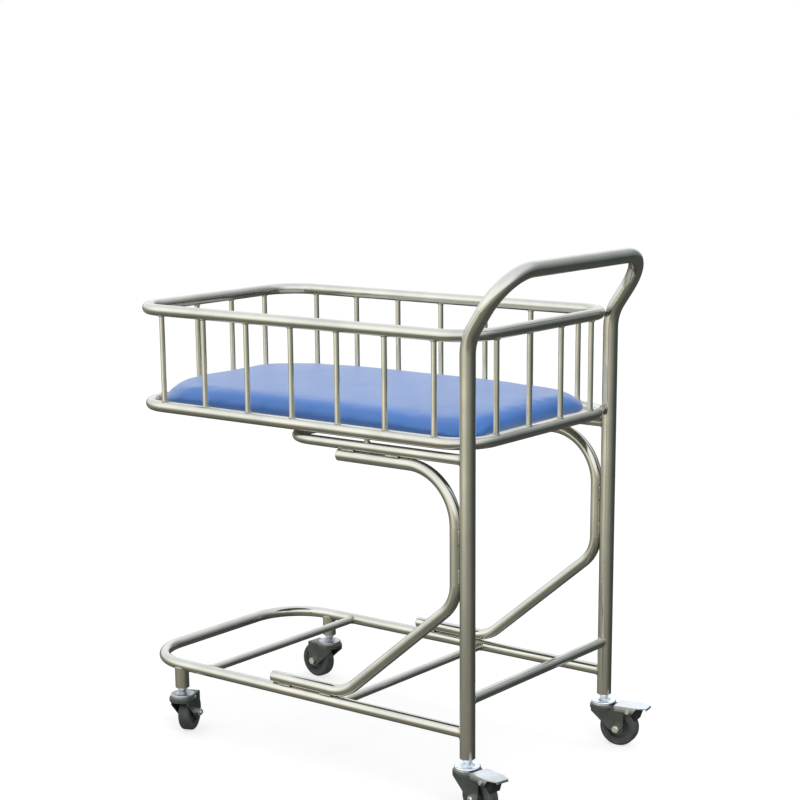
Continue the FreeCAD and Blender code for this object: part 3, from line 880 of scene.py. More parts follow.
@dataclass
class FrameWelds:
    """Beads of the base frame, support rail, brackets and lower ring.

    Args:
        post_radius: outer radius of the posts.
        rail_radius: of the base rail.
        crossbar_radius: of the crossbars.
        cross_tube_radius: of the tube between the posts.
        support_radius: of the support rail.
        bracket_radius: of the brackets.
        ring_radius: of the basket rings.
        spacer_radius: of the studs under the basket.
        ring_corner: radius of the rings' corners, on the axis.
        stitch: length of a short weld.
        high_stitches: how far before the posts the brackets are welded to the support rail.
        low_stitches: how far behind their front end they are welded to the base rail.
        post_stitches: heights at which they are welded to the posts.
        press: share of its radius by which a fillet is pressed in.
        loop: half the width and height of the bead between a ring's corner and a post.
        end_points: points along the bead where a tube ends on a post.
        crossbar_points: along that where a crossbar ends on the base rail.
        spacer_points: along that at the end of a stud.
        loop_points: along that at a ring's corner.
        run: the kind of bead at tube ends.
        fillet: the kind of bead between tubes that lie side by side.
    """

    post_radius: float = 0.014
    rail_radius: float = 0.011
    crossbar_radius: float = 0.008
    cross_tube_radius: float = 0.0095
    support_radius: float = 0.0095
    bracket_radius: float = 0.011
    ring_radius: float = 0.011
    spacer_radius: float = 0.004
    ring_corner: float = 0.07
    stitch: float = 0.03
    high_stitches: Pair = (0.26, 0.16)
    low_stitches: Pair = (0.03, 0.13)
    post_stitches: Pair = (0.43, 0.5)
    press: float = 0.5
    loop: Pair = (0.008, 0.0072)
    end_points: int = 64
    crossbar_points: int = 56
    spacer_points: int = 28
    loop_points: int = 48
    run: WeldRun = field(default_factory=lambda: WeldRun(radius=0.0019))
    fillet: WeldRun = field(
        default_factory=lambda: WeldRun(radius=0.0022, ripple_pitch=0.002, ripple=0.1)
    )

    def post_places(self) -> list[np.ndarray]:
        """Axis of each post at floor height, near side first.

        Returns:
            Two points, at height zero.
        """
        cross, _ = middle_and_half("lower_cross_tube")
        _, half = middle_and_half("post_handle_tube")
        reach = half[1] - self.post_radius
        return [np.array([cross[0], side * reach, 0.0]) for side in (-1, 1)]

    def tube_ends(self, beads: SurfaceSet) -> None:
        """Beads where tubes end on the posts and on the base rail.

        Args:
            beads: gathers the beads.
        """
        rail_z = middle_height("base_rail")
        for post, side in zip(self.post_places(), (-1, 1)):
            ends = (
                (rail_z, -X, self.rail_radius),
                (middle_height("support_rail"), -X, self.support_radius),
                (middle_height("lower_cross_tube"), -side * Y, self.cross_tube_radius),
            )
            for z, away, radius in ends:
                radii = (radius, self.post_radius)
                self.run.around_branch(beads, post + z * Z, (away, Z), radii, self.end_points)
            for bar in ("front_crossbar", "rear_crossbar"):
                centre = np.array([middle_and_half(bar)[0][0], post[1], rail_z])
                radii = (self.crossbar_radius, self.rail_radius)
                self.run.around_branch(beads, centre, (-side * Y, X), radii, self.crossbar_points)

    def spacers(self, beads: SurfaceSet) -> None:
        """Beads at both ends of the studs between the support rail and the lower ring.

        Args:
            beads: gathers the beads.
        """
        x = middle_and_half("ring_spacers")[0][0]
        for post in self.post_places():
            for node, away, radius in (
                ("support_rail", Z, self.support_radius), ("lower_ring", -Z, self.ring_radius),
            ):
                centre = np.array([x, post[1], middle_height(node)])
                radii = (self.spacer_radius, radius)
                self.run.around_branch(beads, centre, (away, X), radii, self.spacer_points)

    def between(
        self,
        beads: SurfaceSet,
        axes: tuple[np.ndarray, np.ndarray],
        radii: Pair,
        along: np.ndarray,
    ) -> None:
        """Two short fillets, one on each side of where parallel tubes touch.

        The fillet lies where a circle of its radius touches both tubes: with d the distance of the
        axes and R1, R2 the tubes' radii plus the fillet's own, it is (d^2 + R1^2 - R2^2) / 2d along
        the line of centres and sqrt(R1^2 - that^2) across it. It is then pressed in toward that
        line.

        Args:
            beads: gathers the beads.
            axes: a point on each tube's axis, beside one another.
            radii: the tubes' radii.
            along: common direction of the tubes.
        """
        first, second = axes
        gap = second - first
        distance = float(np.linalg.norm(gap))
        toward = gap / distance
        aside = np.cross(along, toward)
        one, two = (radius + self.fillet.radius for radius in radii)
        onward = (distance**2 + one**2 - two**2) / (2 * distance)
        out = math.sqrt(max(one**2 - onward**2, 0.0)) - self.press * self.fillet.radius
        reach = along * self.stitch / 2
        for side in (-1, 1):
            middle = first + onward * toward + side * out * aside
            self.fillet.straight(beads, middle - reach, middle + reach, toward)

    def brackets(self, beads: SurfaceSet) -> None:
        """Fillets of the brackets on the support rail, the posts and the base rail.

        Args:
            beads: gathers the beads.
        """
        support_z, rail_z = middle_height("support_rail"), middle_height("base_rail")
        r = self.bracket_radius
        for post, node in zip(self.post_places(), ("near_bracket", "far_bracket")):
            low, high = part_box(node)
            seams = []
            for before in self.high_stitches:
                x = post[0] - before
                seams.append(((x, support_z), (x, high[2] - r), (self.support_radius, r), X))
            for behind in self.low_stitches:
                x = low[0] + behind
                seams.append(((x, rail_z), (x, low[2] + r), (self.rail_radius, r), X))
            for z in self.post_stitches:
                seams.append(((high[0] - r, z), (post[0], z), (r, self.post_radius), Z))
            for first, second, radii, along in seams:
                axes = tuple(np.array([x, post[1], z]) for x, z in (first, second))
                self.between(beads, axes, radii, along)

    def stubs(self, beads: SurfaceSet) -> None:
        """Beads beside the base rail on top of the front stubs.

        The line runs along the rail where the stub's flat top meets it, on both sides.

        Args:
            beads: gathers the beads.
        """
        rail_z = middle_height("base_rail")
        for node in ("near_stub", "far_stub"):
            middle, _ = middle_and_half(node)
            top_z = float(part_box(node)[1][2])
            offset = math.sqrt(self.rail_radius**2 - (rail_z - top_z) ** 2)
            reach = math.sqrt(self.post_radius**2 - offset**2)
            for side in (-1, 1):
                centre = np.array([middle[0], middle[1] + side * offset, top_z])
                self.run.straight(beads, centre - reach * X, centre + reach * X, Z)

    def ring_corners(self, beads: SurfaceSet) -> None:
        """Beads where the lower ring's corners touch the posts.

        The tubes cross at right angles and touch at a point, and the bead is a loop round it. At u
        along the ring and v up, with P, R and C the radii of post, tube and corner and
        Q = C + sqrt(R^2 - v^2), the post's skin falls back by P - sqrt(P^2 - u^2) and the ring's
        by C + R - sqrt(Q^2 - u^2). The loop runs midway between them.

        Args:
            beads: gathers the beads.
        """
        low, high = (np.array(corner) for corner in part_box("lower_ring"))
        angle = np.linspace(0.0, math.tau, self.loop_points, endpoint=False)
        along, rise = self.loop[0] * np.cos(angle), self.loop[1] * np.sin(angle)
        corner = self.ring_corner + np.sqrt(self.ring_radius**2 - rise**2)
        post_fall = self.post_radius - np.sqrt(self.post_radius**2 - along**2)
        ring_fall = self.ring_corner + self.ring_radius - np.sqrt(corner**2 - along**2)
        for post, side in zip(self.post_places(), (-1, 1)):
            middle = np.array([
                high[0] - self.ring_radius - self.ring_corner,
                post[1] - side * self.ring_corner,
                (low[2] + high[2]) / 2,
            ])
            toward = post + middle[2] * Z - middle
            toward /= np.linalg.norm(toward)
            touch = middle + (self.ring_corner + self.ring_radius) * toward
            path = (
                touch
                + along[:, None] * np.cross(Z, toward)
                + rise[:, None] * Z
                + (post_fall - ring_fall)[:, None] / 2 * toward
            )
            self.run.lay(beads, path, toward, True)

    def build(self, shop: PaintShop) -> None:
        """Makes the frame's beads as one object.

        Args:
            shop: gives the finish.
        """
        beads = SurfaceSet("frame_welds")
        self.tube_ends(beads)
        self.spacers(beads)
        self.brackets(beads)
        self.stubs(beads)
        self.ring_corners(beads)
        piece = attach(beads.build(), "frame")
        shop.coat_piece(piece, WELD)
        LOG.info("welded the frame: %d beads", len(beads.points))


# ---------------------------------------------------------------- tubework


class Material(Enum):
    """Finish of each kind of rigid CAD piece."""

    TUBE = STAINLESS_TUBE
    BAR = STAINLESS_BAR
    SHEET = STAINLESS_SHEET
    CAP = STAINLESS_CAP
    ZINC = ZINC
    SHADED_PLATING = PAINTED_SHADE_ZINC
    PEDAL = PEDAL_ZINC
    BOLT = BOLT_ZINC
    FORK = FORK_STEEL
    BALLS = BALL_STEEL
    BUSH = BUSH_BRASS
    HUB = HUB_PLASTIC
    TYRE = TYRE_RUBBER
    SHOE = SHOE_RUBBER


@dataclass
class Tubework:
    """The welded frame and basket.

    Args:
        tubes: CAD nodes of polished tube.
        bars: CAD nodes of bright drawn bar.
        sheets: CAD nodes of sheet.
        caps: CAD nodes of pressed caps.
        plugs: CAD nodes of the casters' sockets.
    """

    tubes: tuple[str, ...] = (
        "post_handle_tube", "lower_cross_tube", "base_rail", "front_crossbar", "rear_crossbar",
        "near_stub", "far_stub", "near_bracket", "far_bracket", "support_rail", "ring_spacers",
        "upper_ring", "lower_ring",
    )
    bars: tuple[str, ...] = ("near_bars", "far_bars", "head_bars", "foot_bars")
    sheets: tuple[str, ...] = ("deck",)
    caps: tuple[str, ...] = ("bracket_caps",)
    plugs: tuple[str, ...] = ("socket_plugs",)

    def build(self, shop: PaintShop) -> None:
        """Coats the rigid nodes of the frame.

        Args:
            shop: gives the finishes.
        """
        for names, kind in (
            (self.tubes, Material.TUBE), (self.bars, Material.BAR), (self.sheets, Material.SHEET),
            (self.caps, Material.CAP), (self.plugs, Material.ZINC),
        ):
            for name in names:
                shop.coat_node(name, kind.value)


# ---------------------------------------------------------------- casters


@dataclass
class Caster:
    """One caster, dressed piece by piece.

    Args:
        place: the caster's place, which its nodes' names start with.
        braked: whether it carries a brake.
    """

    place: str
    braked: bool

    def kinds(self) -> dict[str, Material]:
        """The finish of each of its pieces; a plain caster's plating is the darker copy of the
        zinc, which is painted shade.

        Returns:
            The finishes by piece.
        """
        # Painted shade: plain casters take the darker copy of the zinc.
        plating = Material.ZINC if self.braked else Material.SHADED_PLATING
        kinds = {
            "stem": plating, "race_plate": plating, "bearing_balls": Material.BALLS,
            "fork": Material.FORK, "hub": Material.HUB, "bush": Material.BUSH,
            "tyre": Material.TYRE, "axle_bolt": Material.BOLT,
        }
        if self.braked:
            kinds |= {
                "brake_pin": Material.BOLT, "brake_pedal": Material.PEDAL,
                "brake_shoe": Material.SHOE,
            }
        return kinds

    def build(self, shop: PaintShop) -> None:
        """Coats the caster's nodes.

        Args:
            shop: gives the finishes.
        """
        for piece, kind in self.kinds().items():
            shop.coat_node(f"{self.place}_{piece}", kind.value)


# ---------------------------------------------------------------- mattress


@dataclass
class Mattress:
    """Foam pad in a coated cover, swollen a little between its rounded corners.

    Args:
        low_corner: radius of the outline at the underside.
        high_corner: radius of the outline at the top.
        top_round: radius of the upper edge.
        low_round: radius of the lower edge.
        crown: how far the middle of the top stands above its edge.
        droop: how far the top falls at its corners.
        pull: how far the sides draw in between the corners.
        voxel: size of the cloth's cells.
        pressure: of the foam inside the cover.
        quality: steps of the cloth's solver in one frame.
        frames: how long the cloth swells.
        cap: farthest that a point may swell.
        room: gap kept to the bars.
        bar_radius: radius of a bar.
        slack: how far a side may stand outside the solid's, beside the ring.
        spread: how far below the ring's top the sides begin to spread, and over what height.
        ring_corner: radius of the room inside the ring's corners.
        around: points round the outline, a multiple of 8.
        flat_rows: rows of points from the middle of the underside or top to its edge.
        edge_rows: rows over a rounded edge.
        side_rows: rows up the side, with its two ends.
        merge: distance under which the skin's points are one.
    """

    low_corner: float = 0.058
    high_corner: float = 0.108
    top_round: float = 0.020
    low_round: float = 0.0165
    crown: float = 0.004
    droop: float = 0.016
    pull: float = 0.003
    voxel: float = 0.006
    pressure: float = 4.0
    quality: int = 4
    frames: int = 20
    cap: float = 0.005
    room: float = 0.0012
    bar_radius: float = 0.005
    slack: float = 0.0006
    spread: Pair = (0.004, 0.012)
    ring_corner: float = 0.057
    around: int = 256
    flat_rows: int = 22
    edge_rows: int = 7
    side_rows: int = 8
    merge: float = 0.00002

    def outline(self, inset: np.ndarray, radius: np.ndarray) -> tuple[np.ndarray, np.ndarray]:
        """Rounded rectangles, one for each inset.

        With half sizes a and b less the inset and corner radius R less the inset but not under
        zero, the point at share s of the way round lies on a side or on a corner's arc; shares are
        the same for every inset, so that points line up.

        Args:
            inset: distances inward, one per row.
            radius: corner radii R, one per row.

        Returns:
            The x and y arrays, rows by points.
        """
        _, half = middle_and_half("mattress")
        a = np.maximum(half[0] - inset, 0.0)[:, None]
        b = np.maximum(half[1] - inset, 0.0)[:, None]
        r = np.minimum(np.maximum(radius - inset, 0.0)[:, None], np.minimum(a, b))
        side = np.linspace(0.0, 1.0, self.around // 8 + 1)[None, :-1]
        arc = np.linspace(0.0, math.pi / 2, self.around // 8 + 1)[None, :-1]
        xs, ys = [], []
        for turn, (sx, sy) in enumerate(((1, 1), (-1, 1), (-1, -1), (1, -1))):
            cx, cy = sx * (a - r), sy * (b - r)
            angle = arc + turn * math.pi / 2
            xs.append(cx + r * np.cos(angle))
            ys.append(cy + r * np.sin(angle))
            along_x = turn % 2 == 0
            far_x = -cx if along_x else cx
            far_y = cy if along_x else -cy
            end = (turn + 1) * math.pi / 2
            xs.append(cx + (far_x - cx) * side + r * math.cos(end))
            ys.append(cy + (far_y - cy) * side + r * math.sin(end))
        return np.concatenate(xs, axis=1), np.concatenate(ys, axis=1)

    def skin(self) -> bpy.types.Object:
        """The pad's closed skin before it swells.

        A section of insets and heights goes from the middle of the underside round the lower
        edge, up the side, round the upper edge and to the middle of the top. Each section point is
        an inset rectangle at that height, with corners that grow rounder on the way up. The sides
        then draw in by pull times the cosine of the place along the side, and the top rises by
        crown times the root of the product of two cosines and falls by droop times the cube of
        the product of the two places. Down the side the rise fades with the fourth power of the
        height, and the fall with the height. The top's edge lies half a crown under the solid's
        top.

        Returns:
            The object.
        """
        middle, half = middle_and_half("mattress")
        low_z, high_z = middle[2] - half[2], middle[2] + half[2] - 0.5 * self.crown
        quarter = np.linspace(0.0, math.pi / 2, self.edge_rows)
        flat = np.linspace(half[1], self.top_round, self.flat_rows)
        level = np.ones(self.flat_rows - 1)
        side = np.linspace(low_z + self.low_round, high_z - self.top_round, self.side_rows)[1:-1]
        inset = np.concatenate([
            flat[:-1], self.low_round * (1 - np.sin(quarter)),
            np.zeros(len(side)), self.top_round * (1 - np.cos(quarter)), flat[::-1][1:],
        ])
        height = np.concatenate([
            low_z * level, low_z + self.low_round * (1 - np.cos(quarter)), side,
            high_z - self.top_round * (1 - np.sin(quarter)), high_z * level,
        ])
        share = np.clip((height - low_z) / (high_z - low_z), 0.0, 1.0)
        radius = self.low_corner + (self.high_corner - self.low_corner) * share
        x, y = self.outline(inset, radius)
        top = share[:, None]
        across = np.cos(np.clip(x / half[0], -1, 1) * math.pi / 2)
        length = np.cos(np.clip(y / half[1], -1, 1) * math.pi / 2)
        z = height[:, None] + self.crown * across**0.5 * length**0.5 * top**4
        z = z - self.droop * np.abs(x / half[0] * y / half[1]) ** 3 * top
        y = y - np.sign(y) * self.pull * across * (np.abs(y) / half[1]) ** 2
        x = x - np.sign(x) * self.pull * length * (np.abs(x) / half[0]) ** 2
        surface = SurfaceSet("mattress_pad")
        surface.add(np.stack([x + middle[0], y + middle[1], z], axis=2), False)
        piece = surface.build()
        self.close(piece)
        return piece

    def close(self, piece: bpy.types.Object) -> None:
        """Merges the skin where its end rows fold onto a line, with the faces outward.

        Args:
            piece: the pad's object.
        """
        shell = bmesh.new()
        shell.from_mesh(piece.data)
        bmesh.ops.remove_doubles(shell, verts=shell.verts, dist=self.merge)
        bmesh.ops.recalc_face_normals(shell, faces=shell.faces)
        shell.to_mesh(piece.data)
        shell.free()
        piece.data.shade_smooth()

    def swell(self, piece: bpy.types.Object) -> None:
        """Remeshes the skin, swells it as cloth under pressure and applies the result.

        Args:
            piece: the pad's object.
        """
        piece.data.remesh_voxel_size = self.voxel
        chosen = {"object": piece, "active_object": piece, "selected_objects": [piece]}
        with bpy.context.temp_override(**chosen):
            bpy.ops.object.voxel_remesh()
        before = self.points(piece.data)
        cloth = piece.modifiers.new("foam", "CLOTH")
        cloth.settings.use_pressure = True
        cloth.settings.uniform_pressure_force = self.pressure
        cloth.settings.effector_weights.gravity = 0.0
        cloth.settings.quality = self.quality
        scene = bpy.context.scene
        for step in range(1, self.frames + 1):
            scene.frame_set(step)
        swollen = piece.evaluated_get(bpy.context.evaluated_depsgraph_get())
        after = self.points(swollen.to_mesh())
        swollen.to_mesh_clear()
        piece.modifiers.remove(cloth)
        scene.frame_set(1)
        move = after - before
        size = np.linalg.norm(move, axis=1, keepdims=True)
        move *= np.minimum(1.0, self.cap / np.maximum(size, 1e-9))
        self.store(piece, before + move)

    def points(self, mesh: bpy.types.Mesh) -> np.ndarray:
        """The mesh's points as an array.

        Args:
            mesh: the mesh.

        Returns:
            Points by 3.
        """
        values = np.empty(len(mesh.vertices) * 3)
        mesh.vertices.foreach_get("co", values)
        return values.reshape(-1, 3)

    def store(self, piece: bpy.types.Object, points: np.ndarray) -> None:
        """Puts an array of points into the mesh."""
        piece.data.vertices.foreach_set("co", points.ravel())
        piece.data.update()

    def fit(self, piece: bpy.types.Object) -> None:
        """Keeps the pad clear of the deck, the ring and the bars.

        Beside the ring the limit is the solid's own side and the slack, and above it the bars'
        inner side less the room. The two meet in the smooth step 3s^2 - 2s^3 of the share s of the
        spread's height. Corners stay inside the ring's corner arc, and nothing goes below the
        solid's underside.

        Args:
            piece: the pad's object.
        """
        middle, half = middle_and_half("mattress")
        ring, ring_half = middle_and_half("lower_ring")
        points = self.points(piece.data)
        below, length = self.spread
        ring_top = ring[2] + ring_half[2]
        share = np.clip((points[:, 2] - ring_top + below) / length, 0.0, 1.0)
        rise = share * share * (3 - 2 * share)
        place = points[:, :2] - middle[:2]
        beside = half[:2] + self.slack
        above = ring_half[:2] - ring_half[2] - self.bar_radius - self.room
        limit = beside + (above - beside) * rise[:, None]
        place = np.clip(place, -limit, limit)
        beyond = np.maximum(np.abs(place) - (limit - self.ring_corner), 0.0)
        inward = np.maximum(np.linalg.norm(beyond, axis=1) / self.ring_corner, 1.0)
        place -= np.sign(place) * beyond * (1 - 1 / inward[:, None])
        points[:, :2] = place + middle[:2]
        points[:, 2] = np.maximum(points[:, 2], middle[2] - half[2])
        self.store(piece, points)

    def build(self, shop: PaintShop) -> None:
        """Makes the pad in place of its plain solid.

        Reflections leave it out, because its colour would draw hard blue lines on the steel.

        Args:
            shop: gives the finish.
        """
        piece = self.skin()
        self.swell(piece)
        self.fit(piece)
        finer = piece.modifiers.new("finer", "SUBSURF")
        finer.levels = finer.render_levels = 1
        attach(piece, "mattress")
        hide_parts("mattress")
        piece.visible_glossy = False
        shop.coat_piece(piece, COVER)
        LOG.info("made the mattress: %d faces", len(piece.data.polygons))


# ---------------------------------------------------------------- studio


def greys(*stops: Pair) -> Stops:
    """Stops of plain grey, from places and levels."""
    return tuple((place, (level,) * 3) for place, level in stops)


@dataclass
class Studio:
    """Floor, soft light and camera.

    A height in the room is the upward part of a unit direction, 0 at the horizon and 1 overhead.

    Args:
        azimuth: degrees round the trolley, 0 looking along +Y.
        elevation: degrees above the horizon.
        distance: from the target to the camera, metres.
        roll: degrees.
        target: the point at the middle of the lens's axis.
        focal: of the lens in frame widths.
        shift: of the lens, in frame widths.
        sensor: width that the lens's millimetres are counted on.
        clip: nearest and farthest that the camera sees, metres.
        daylight: colour of the light that falls on the trolley.
        underlight: its strength at the horizon and below, as a share of that overhead.
        room_power: strength of the room that reflections see.
        sky_stops: colours round the room above the horizon.
        ceiling: colour overhead.
        ceiling_rise: heights over which the sky turns into it.
        floor_stops: colours round the lowest ring.
        lower_stops: colours round the ring above it.
        lower_rise: heights over which that ring takes over.
        upper_stops: colours round the ring under the horizon.
        upper_rise: heights over which that ring takes over.
        horizon: heights over which the rings give way to the sky.
        tall_stops: where round the room they rise slowly into it instead.
        rise_stops: how they do so, by height.
        rise_start: how far under the horizon that starts.
        floor_reach: half the floor's width, metres.
        floor_drop: how far it lies under the wheels, metres.
        floor_seen: its colour to the camera.
        floor_bounce: its colour to all other light.
        floor_glow: light that it adds to the camera's view of it.
    """

    azimuth: float = 37.945
    elevation: float = 13.731
    distance: float = 3.6854
    roll: float = -0.549
    target: Triple = (0.0062, 0.0, 0.3880)
    focal: float = 2.37195
    shift: Pair = (0.0128, 0.1851)
    sensor: float = 36.0
    clip: Pair = (0.1, 60.0)
    daylight: Colour = (0.97, 0.98, 1.0)
    underlight: float = 0.46
    room_power: float = 1.6
    sky_stops: Stops = (
        (0.0, (0.80, 0.83, 0.84)), (0.12, (0.74, 0.77, 0.79)), (0.29, (0.97, 1.0, 0.97)),
        (0.45, (0.90, 0.93, 0.91)), (0.84, (0.58, 0.61, 0.64)), (1.0, (0.80, 0.83, 0.84)),
    )
    ceiling: Colour = (0.71, 0.73, 0.79)
    ceiling_rise: Pair = (0.6, 0.95)
    upper_stops: Stops = (
        (0.0, (0.06, 0.06, 0.055)), (0.12, (0.22, 0.215, 0.18)), (0.22, (0.39, 0.38, 0.31)),
        (0.32, (0.69, 0.68, 0.55)), (0.38, (0.66, 0.65, 0.52)), (0.46, (0.39, 0.385, 0.32)),
        (0.56, (0.235, 0.235, 0.20)), (0.66, (0.10, 0.105, 0.09)), (0.74, (0.045, 0.06, 0.055)),
        (0.86, (0.05, 0.065, 0.065)), (1.0, (0.06, 0.06, 0.055)),
    )
    upper_rise: Pair = (-0.29, -0.2)
    lower_stops: Stops = (
        (0.0, (0.06, 0.06, 0.055)), (0.12, (0.18, 0.18, 0.15)), (0.28, (0.215, 0.215, 0.18)),
        (0.40, (0.20, 0.20, 0.165)), (0.56, (0.19, 0.19, 0.16)), (0.66, (0.10, 0.10, 0.085)),
        (0.76, (0.05, 0.055, 0.05)), (0.88, (0.055, 0.06, 0.055)), (1.0, (0.06, 0.06, 0.055)),
    )
    lower_rise: Pair = (-0.62, -0.32)
    floor_stops: Stops = (
        (0.0, (0.05, 0.05, 0.045)), (0.14, (0.10, 0.10, 0.085)), (0.28, (0.17, 0.17, 0.14)),
        (0.42, (0.14, 0.14, 0.12)), (0.62, (0.07, 0.07, 0.06)), (0.80, (0.07, 0.07, 0.065)),
        (1.0, (0.05, 0.05, 0.045)),
    )
    horizon: Pair = (-0.06, 0.16)
    tall_stops: Stops = greys((0.55, 0.0), (0.70, 1.0), (0.88, 1.0), (0.97, 0.0))
    rise_stops: Stops = greys(
        (0.08, 0.0), (0.33, 0.17), (0.50, 0.30), (0.66, 0.50), (0.80, 0.74), (0.95, 1.0)
    )
    rise_start: float = 0.2
    floor_reach: float = 14.0
    floor_drop: float = 0.0004
    floor_seen: Colour = (0.42, 0.42, 0.42)
    floor_bounce: Colour = (0.42, 0.42, 0.41)
    floor_glow: float = 0.68

    def camera(self) -> None:
        """Puts up the camera."""
        azimuth, elevation = math.radians(self.azimuth), math.radians(self.elevation)
        back = Vector((
            math.sin(azimuth) * math.cos(elevation),
            -math.cos(azimuth) * math.cos(elevation),
            math.sin(elevation),
        ))
        lens = bpy.data.cameras.new("camera")
        lens.sensor_width = self.sensor
        lens.lens = self.sensor * self.focal
        lens.shift_x, lens.shift_y = self.shift
        lens.clip_start, lens.clip_end = self.clip
        camera = bpy.data.objects.new("camera", lens)
        camera.location = Vector(self.target) + self.distance * back
        camera.rotation_mode = "QUATERNION"
        roll = Quaternion((0, 0, 1), math.radians(self.roll))
        camera.rotation_quaternion = (-back).to_track_quat("-Z", "Y") @ roll
        bpy.context.scene.collection.objects.link(camera)
        bpy.context.scene.camera = camera

    def world(self) -> None:
        """A white room: white to the camera, softer for the light that falls on the trolley.

        Reflections see their own room, brighter above than any lamp and dark low down.
        """
        world = bpy.data.worlds.new("studio")
        bpy.context.scene.world = world
        world.use_nodes = True
        bench = NodeBench(world.node_tree)
        rays = bench.add("ShaderNodeLightPath").outputs
        axes = bench.axes(bench.add("ShaderNodeTexCoord").outputs["Generated"])
        falling = bench.remap(axes["Z"], (0.0, 1.0), (self.underlight, 1.0))
        soft, room = bench.add("ShaderNodeBackground"), bench.add("ShaderNodeBackground")
        bench.feed(soft, Color=(*self.daylight, 1.0), Strength=falling)
        bench.feed(room, Color=self.room(bench, axes), Strength=self.room_power)
        white = world.node_tree.nodes["Background"]
        bench.feed(white, Color=(1.0, 1.0, 1.0, 1.0), Strength=1.0)
        lit = bench.mix(rays["Is Glossy Ray"], soft.outputs[0], room.outputs[0])
        clear = bench.math("MAXIMUM", rays["Is Camera Ray"], rays["Is Transmission Ray"])
        whole = bench.mix(clear, lit, white.outputs[0])
        bench.put(world.node_tree.nodes["World Output"].inputs["Surface"], whole)
        world.cycles.sampling_method = "NONE"

    def ramp(
        self, bench: NodeBench, share: bpy.types.NodeSocket, stops: Stops
    ) -> bpy.types.NodeSocket:
        """Colour by place along smooth stops.

        Args:
            bench: the node tree's bench.
            share: the place, 0 to 1.
            stops: places and their colours.

        Returns:
            The colour socket.
        """
        bands = bench.feed(bench.add("ShaderNodeValToRGB"), Fac=share)
        bands.color_ramp.interpolation = "EASE"
        for _ in range(len(stops) - 2):
            bands.color_ramp.elements.new(0.5)
        for element, (place, colour) in zip(bands.color_ramp.elements, stops):
            element.position = place
            element.color = (*colour, 1.0)
        return bands.outputs["Color"]

    def room(
        self, bench: NodeBench, axes: bpy.types.bpy_prop_collection
    ) -> bpy.types.NodeSocket:
        """Colour of the room by direction.

        Shares of the way round start straight behind the trolley and pass its left. From the sky
        down come a bright ceiling, walls that rise slowly into it on the right and end at the
        horizon elsewhere, and three rings of bands that darken toward the floor.

        Args:
            bench: the node tree's bench.
            axes: X, Y and Z of the direction.

        Returns:
            The colour socket.
        """
        height = axes["Z"]
        angle = bench.math("ARCTAN2", axes["X"], bench.math("MULTIPLY", axes["Y"], -1.0))
        turn = math.radians(self.azimuth) - math.pi
        share = bench.math("DIVIDE", bench.math("SUBTRACT", angle, turn), math.tau)
        share = bench.math("FRACT", share)
        sky = self.ramp(bench, share, self.sky_stops)
        sky = bench.blend(bench.remap(height, self.ceiling_rise), sky, self.ceiling)
        walls = self.ramp(bench, share, self.floor_stops)
        for stops, heights in (
            (self.lower_stops, self.lower_rise), (self.upper_stops, self.upper_rise),
        ):
            ring = self.ramp(bench, share, stops)
            walls = bench.blend(bench.remap(height, heights), walls, ring)
        low_edge = bench.remap(height, self.horizon)
        rise = self.ramp(bench, bench.math("ADD", height, self.rise_start), self.rise_stops)
        edge = bench.blend(self.ramp(bench, share, self.tall_stops), low_edge, rise)
        return bench.blend(edge, walls, sky)

    def floor(self) -> None:
        """A plain pale floor that shows white and keeps the trolley's soft shadow."""
        mesh = bpy.data.meshes.new("floor")
        corners = np.array([(-1, -1, 0), (1, -1, 0), (1, 1, 0), (-1, 1, 0)]) * self.floor_reach
        mesh.from_pydata(corners - self.floor_drop * Z, [], [(0, 1, 2, 3)])
        floor = bpy.data.objects.new("floor", mesh)
        bpy.context.scene.collection.objects.link(floor)
        material = bpy.data.materials.new("floor_pale")
        material.use_nodes = True
        bench = NodeBench(material.node_tree)
        material.node_tree.nodes.remove(material.node_tree.nodes["Principled BSDF"])
        pale, bounce = (
            bench.feed(bench.add("ShaderNodeBsdfDiffuse"), Color=(*colour, 1.0))
            for colour in (self.floor_seen, self.floor_bounce)
        )
        glow = bench.feed(bench.add("ShaderNodeEmission"), Strength=self.floor_glow)
        seen = bench.add("ShaderNodeAddShader")
        for socket, node in zip(seen.inputs, (pale, glow)):
            bench.put(socket, node.outputs[0])
        camera_ray = bench.add("ShaderNodeLightPath").outputs["Is Camera Ray"]
        surface = bench.mix(camera_ray, bounce.outputs[0], seen.outputs[0])
        bench.put(material.node_tree.nodes["Material Output"].inputs["Surface"], surface)
        floor.data.materials.append(material)
        floor.visible_glossy = False

    def lamp(self, name: str, place: Triple, aim: Triple, size: float, power: float) -> None:
        """Hangs one soft square lamp.

        Args:
            name: the lamp's name.
            place: where it hangs.
            aim: the point that it faces.
            size: side of the square, metres.
            power: watts.
        """
        light = bpy.data.lights.new(name, "AREA")
        light.size = size
        light.energy = power
        lamp = bpy.data.objects.new(name, light)
        lamp.location = place
        lamp.visible_glossy = False
        lamp.rotation_mode = "QUATERNION"
        lamp.rotation_quaternion = (Vector(aim) - Vector(place)).to_track_quat("-Z", "Y")
        bpy.context.scene.collection.objects.link(lamp)

    def build(self) -> None:
        """Sets up the whole studio."""
        self.camera()
        self.world()
        self.floor()
        self.lamp("key_lamp", place=(2.6, -1.8, 2.8), aim=(0.0, 0.0, 0.5), size=2.4, power=54.0)
        self.lamp("top_lamp", place=(-0.6, 0.4, 3.6), aim=(0.0, 0.0, 0.6), size=2.6, power=18.0)
        bpy.context.scene.view_settings.view_transform = "Standard"
        LOG.info("set up the studio")


# ---------------------------------------------------------------- assembly


SubAssembly = Tubework | BasketWelds | FrameWelds | Caster | Mattress


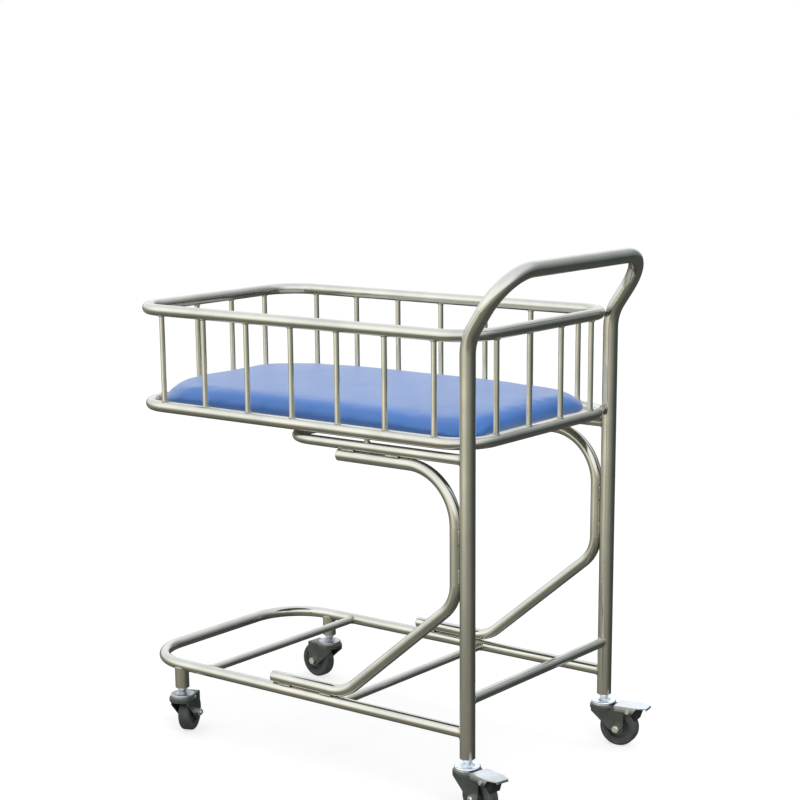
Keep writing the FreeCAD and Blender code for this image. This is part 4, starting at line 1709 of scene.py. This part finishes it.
def write_sizes() -> None:
    """Updates the view layer."""
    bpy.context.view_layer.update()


def main() -> None:
    """Builds and dresses each sub-assembly in turn."""
    logging.basicConfig(level=logging.INFO, format="%(name)s: %(message)s")
    shop = PaintShop()
    parts: dict[str, SubAssembly] = {
        "tubework": Tubework(), "basket welds": BasketWelds(), "frame welds": FrameWelds(),
    }
    for end, braked in (("rear", True), ("front", False)):
        for side in ("near", "far"):
            parts[f"{end} {side} caster"] = Caster(f"{end}_{side}", braked)
    parts["mattress"] = Mattress()
    for name, part in parts.items():
        part.build(shop)
        LOG.info("finished the %s", name)
    Studio().build()
    write_sizes()


if __name__ == "__main__":
    main()
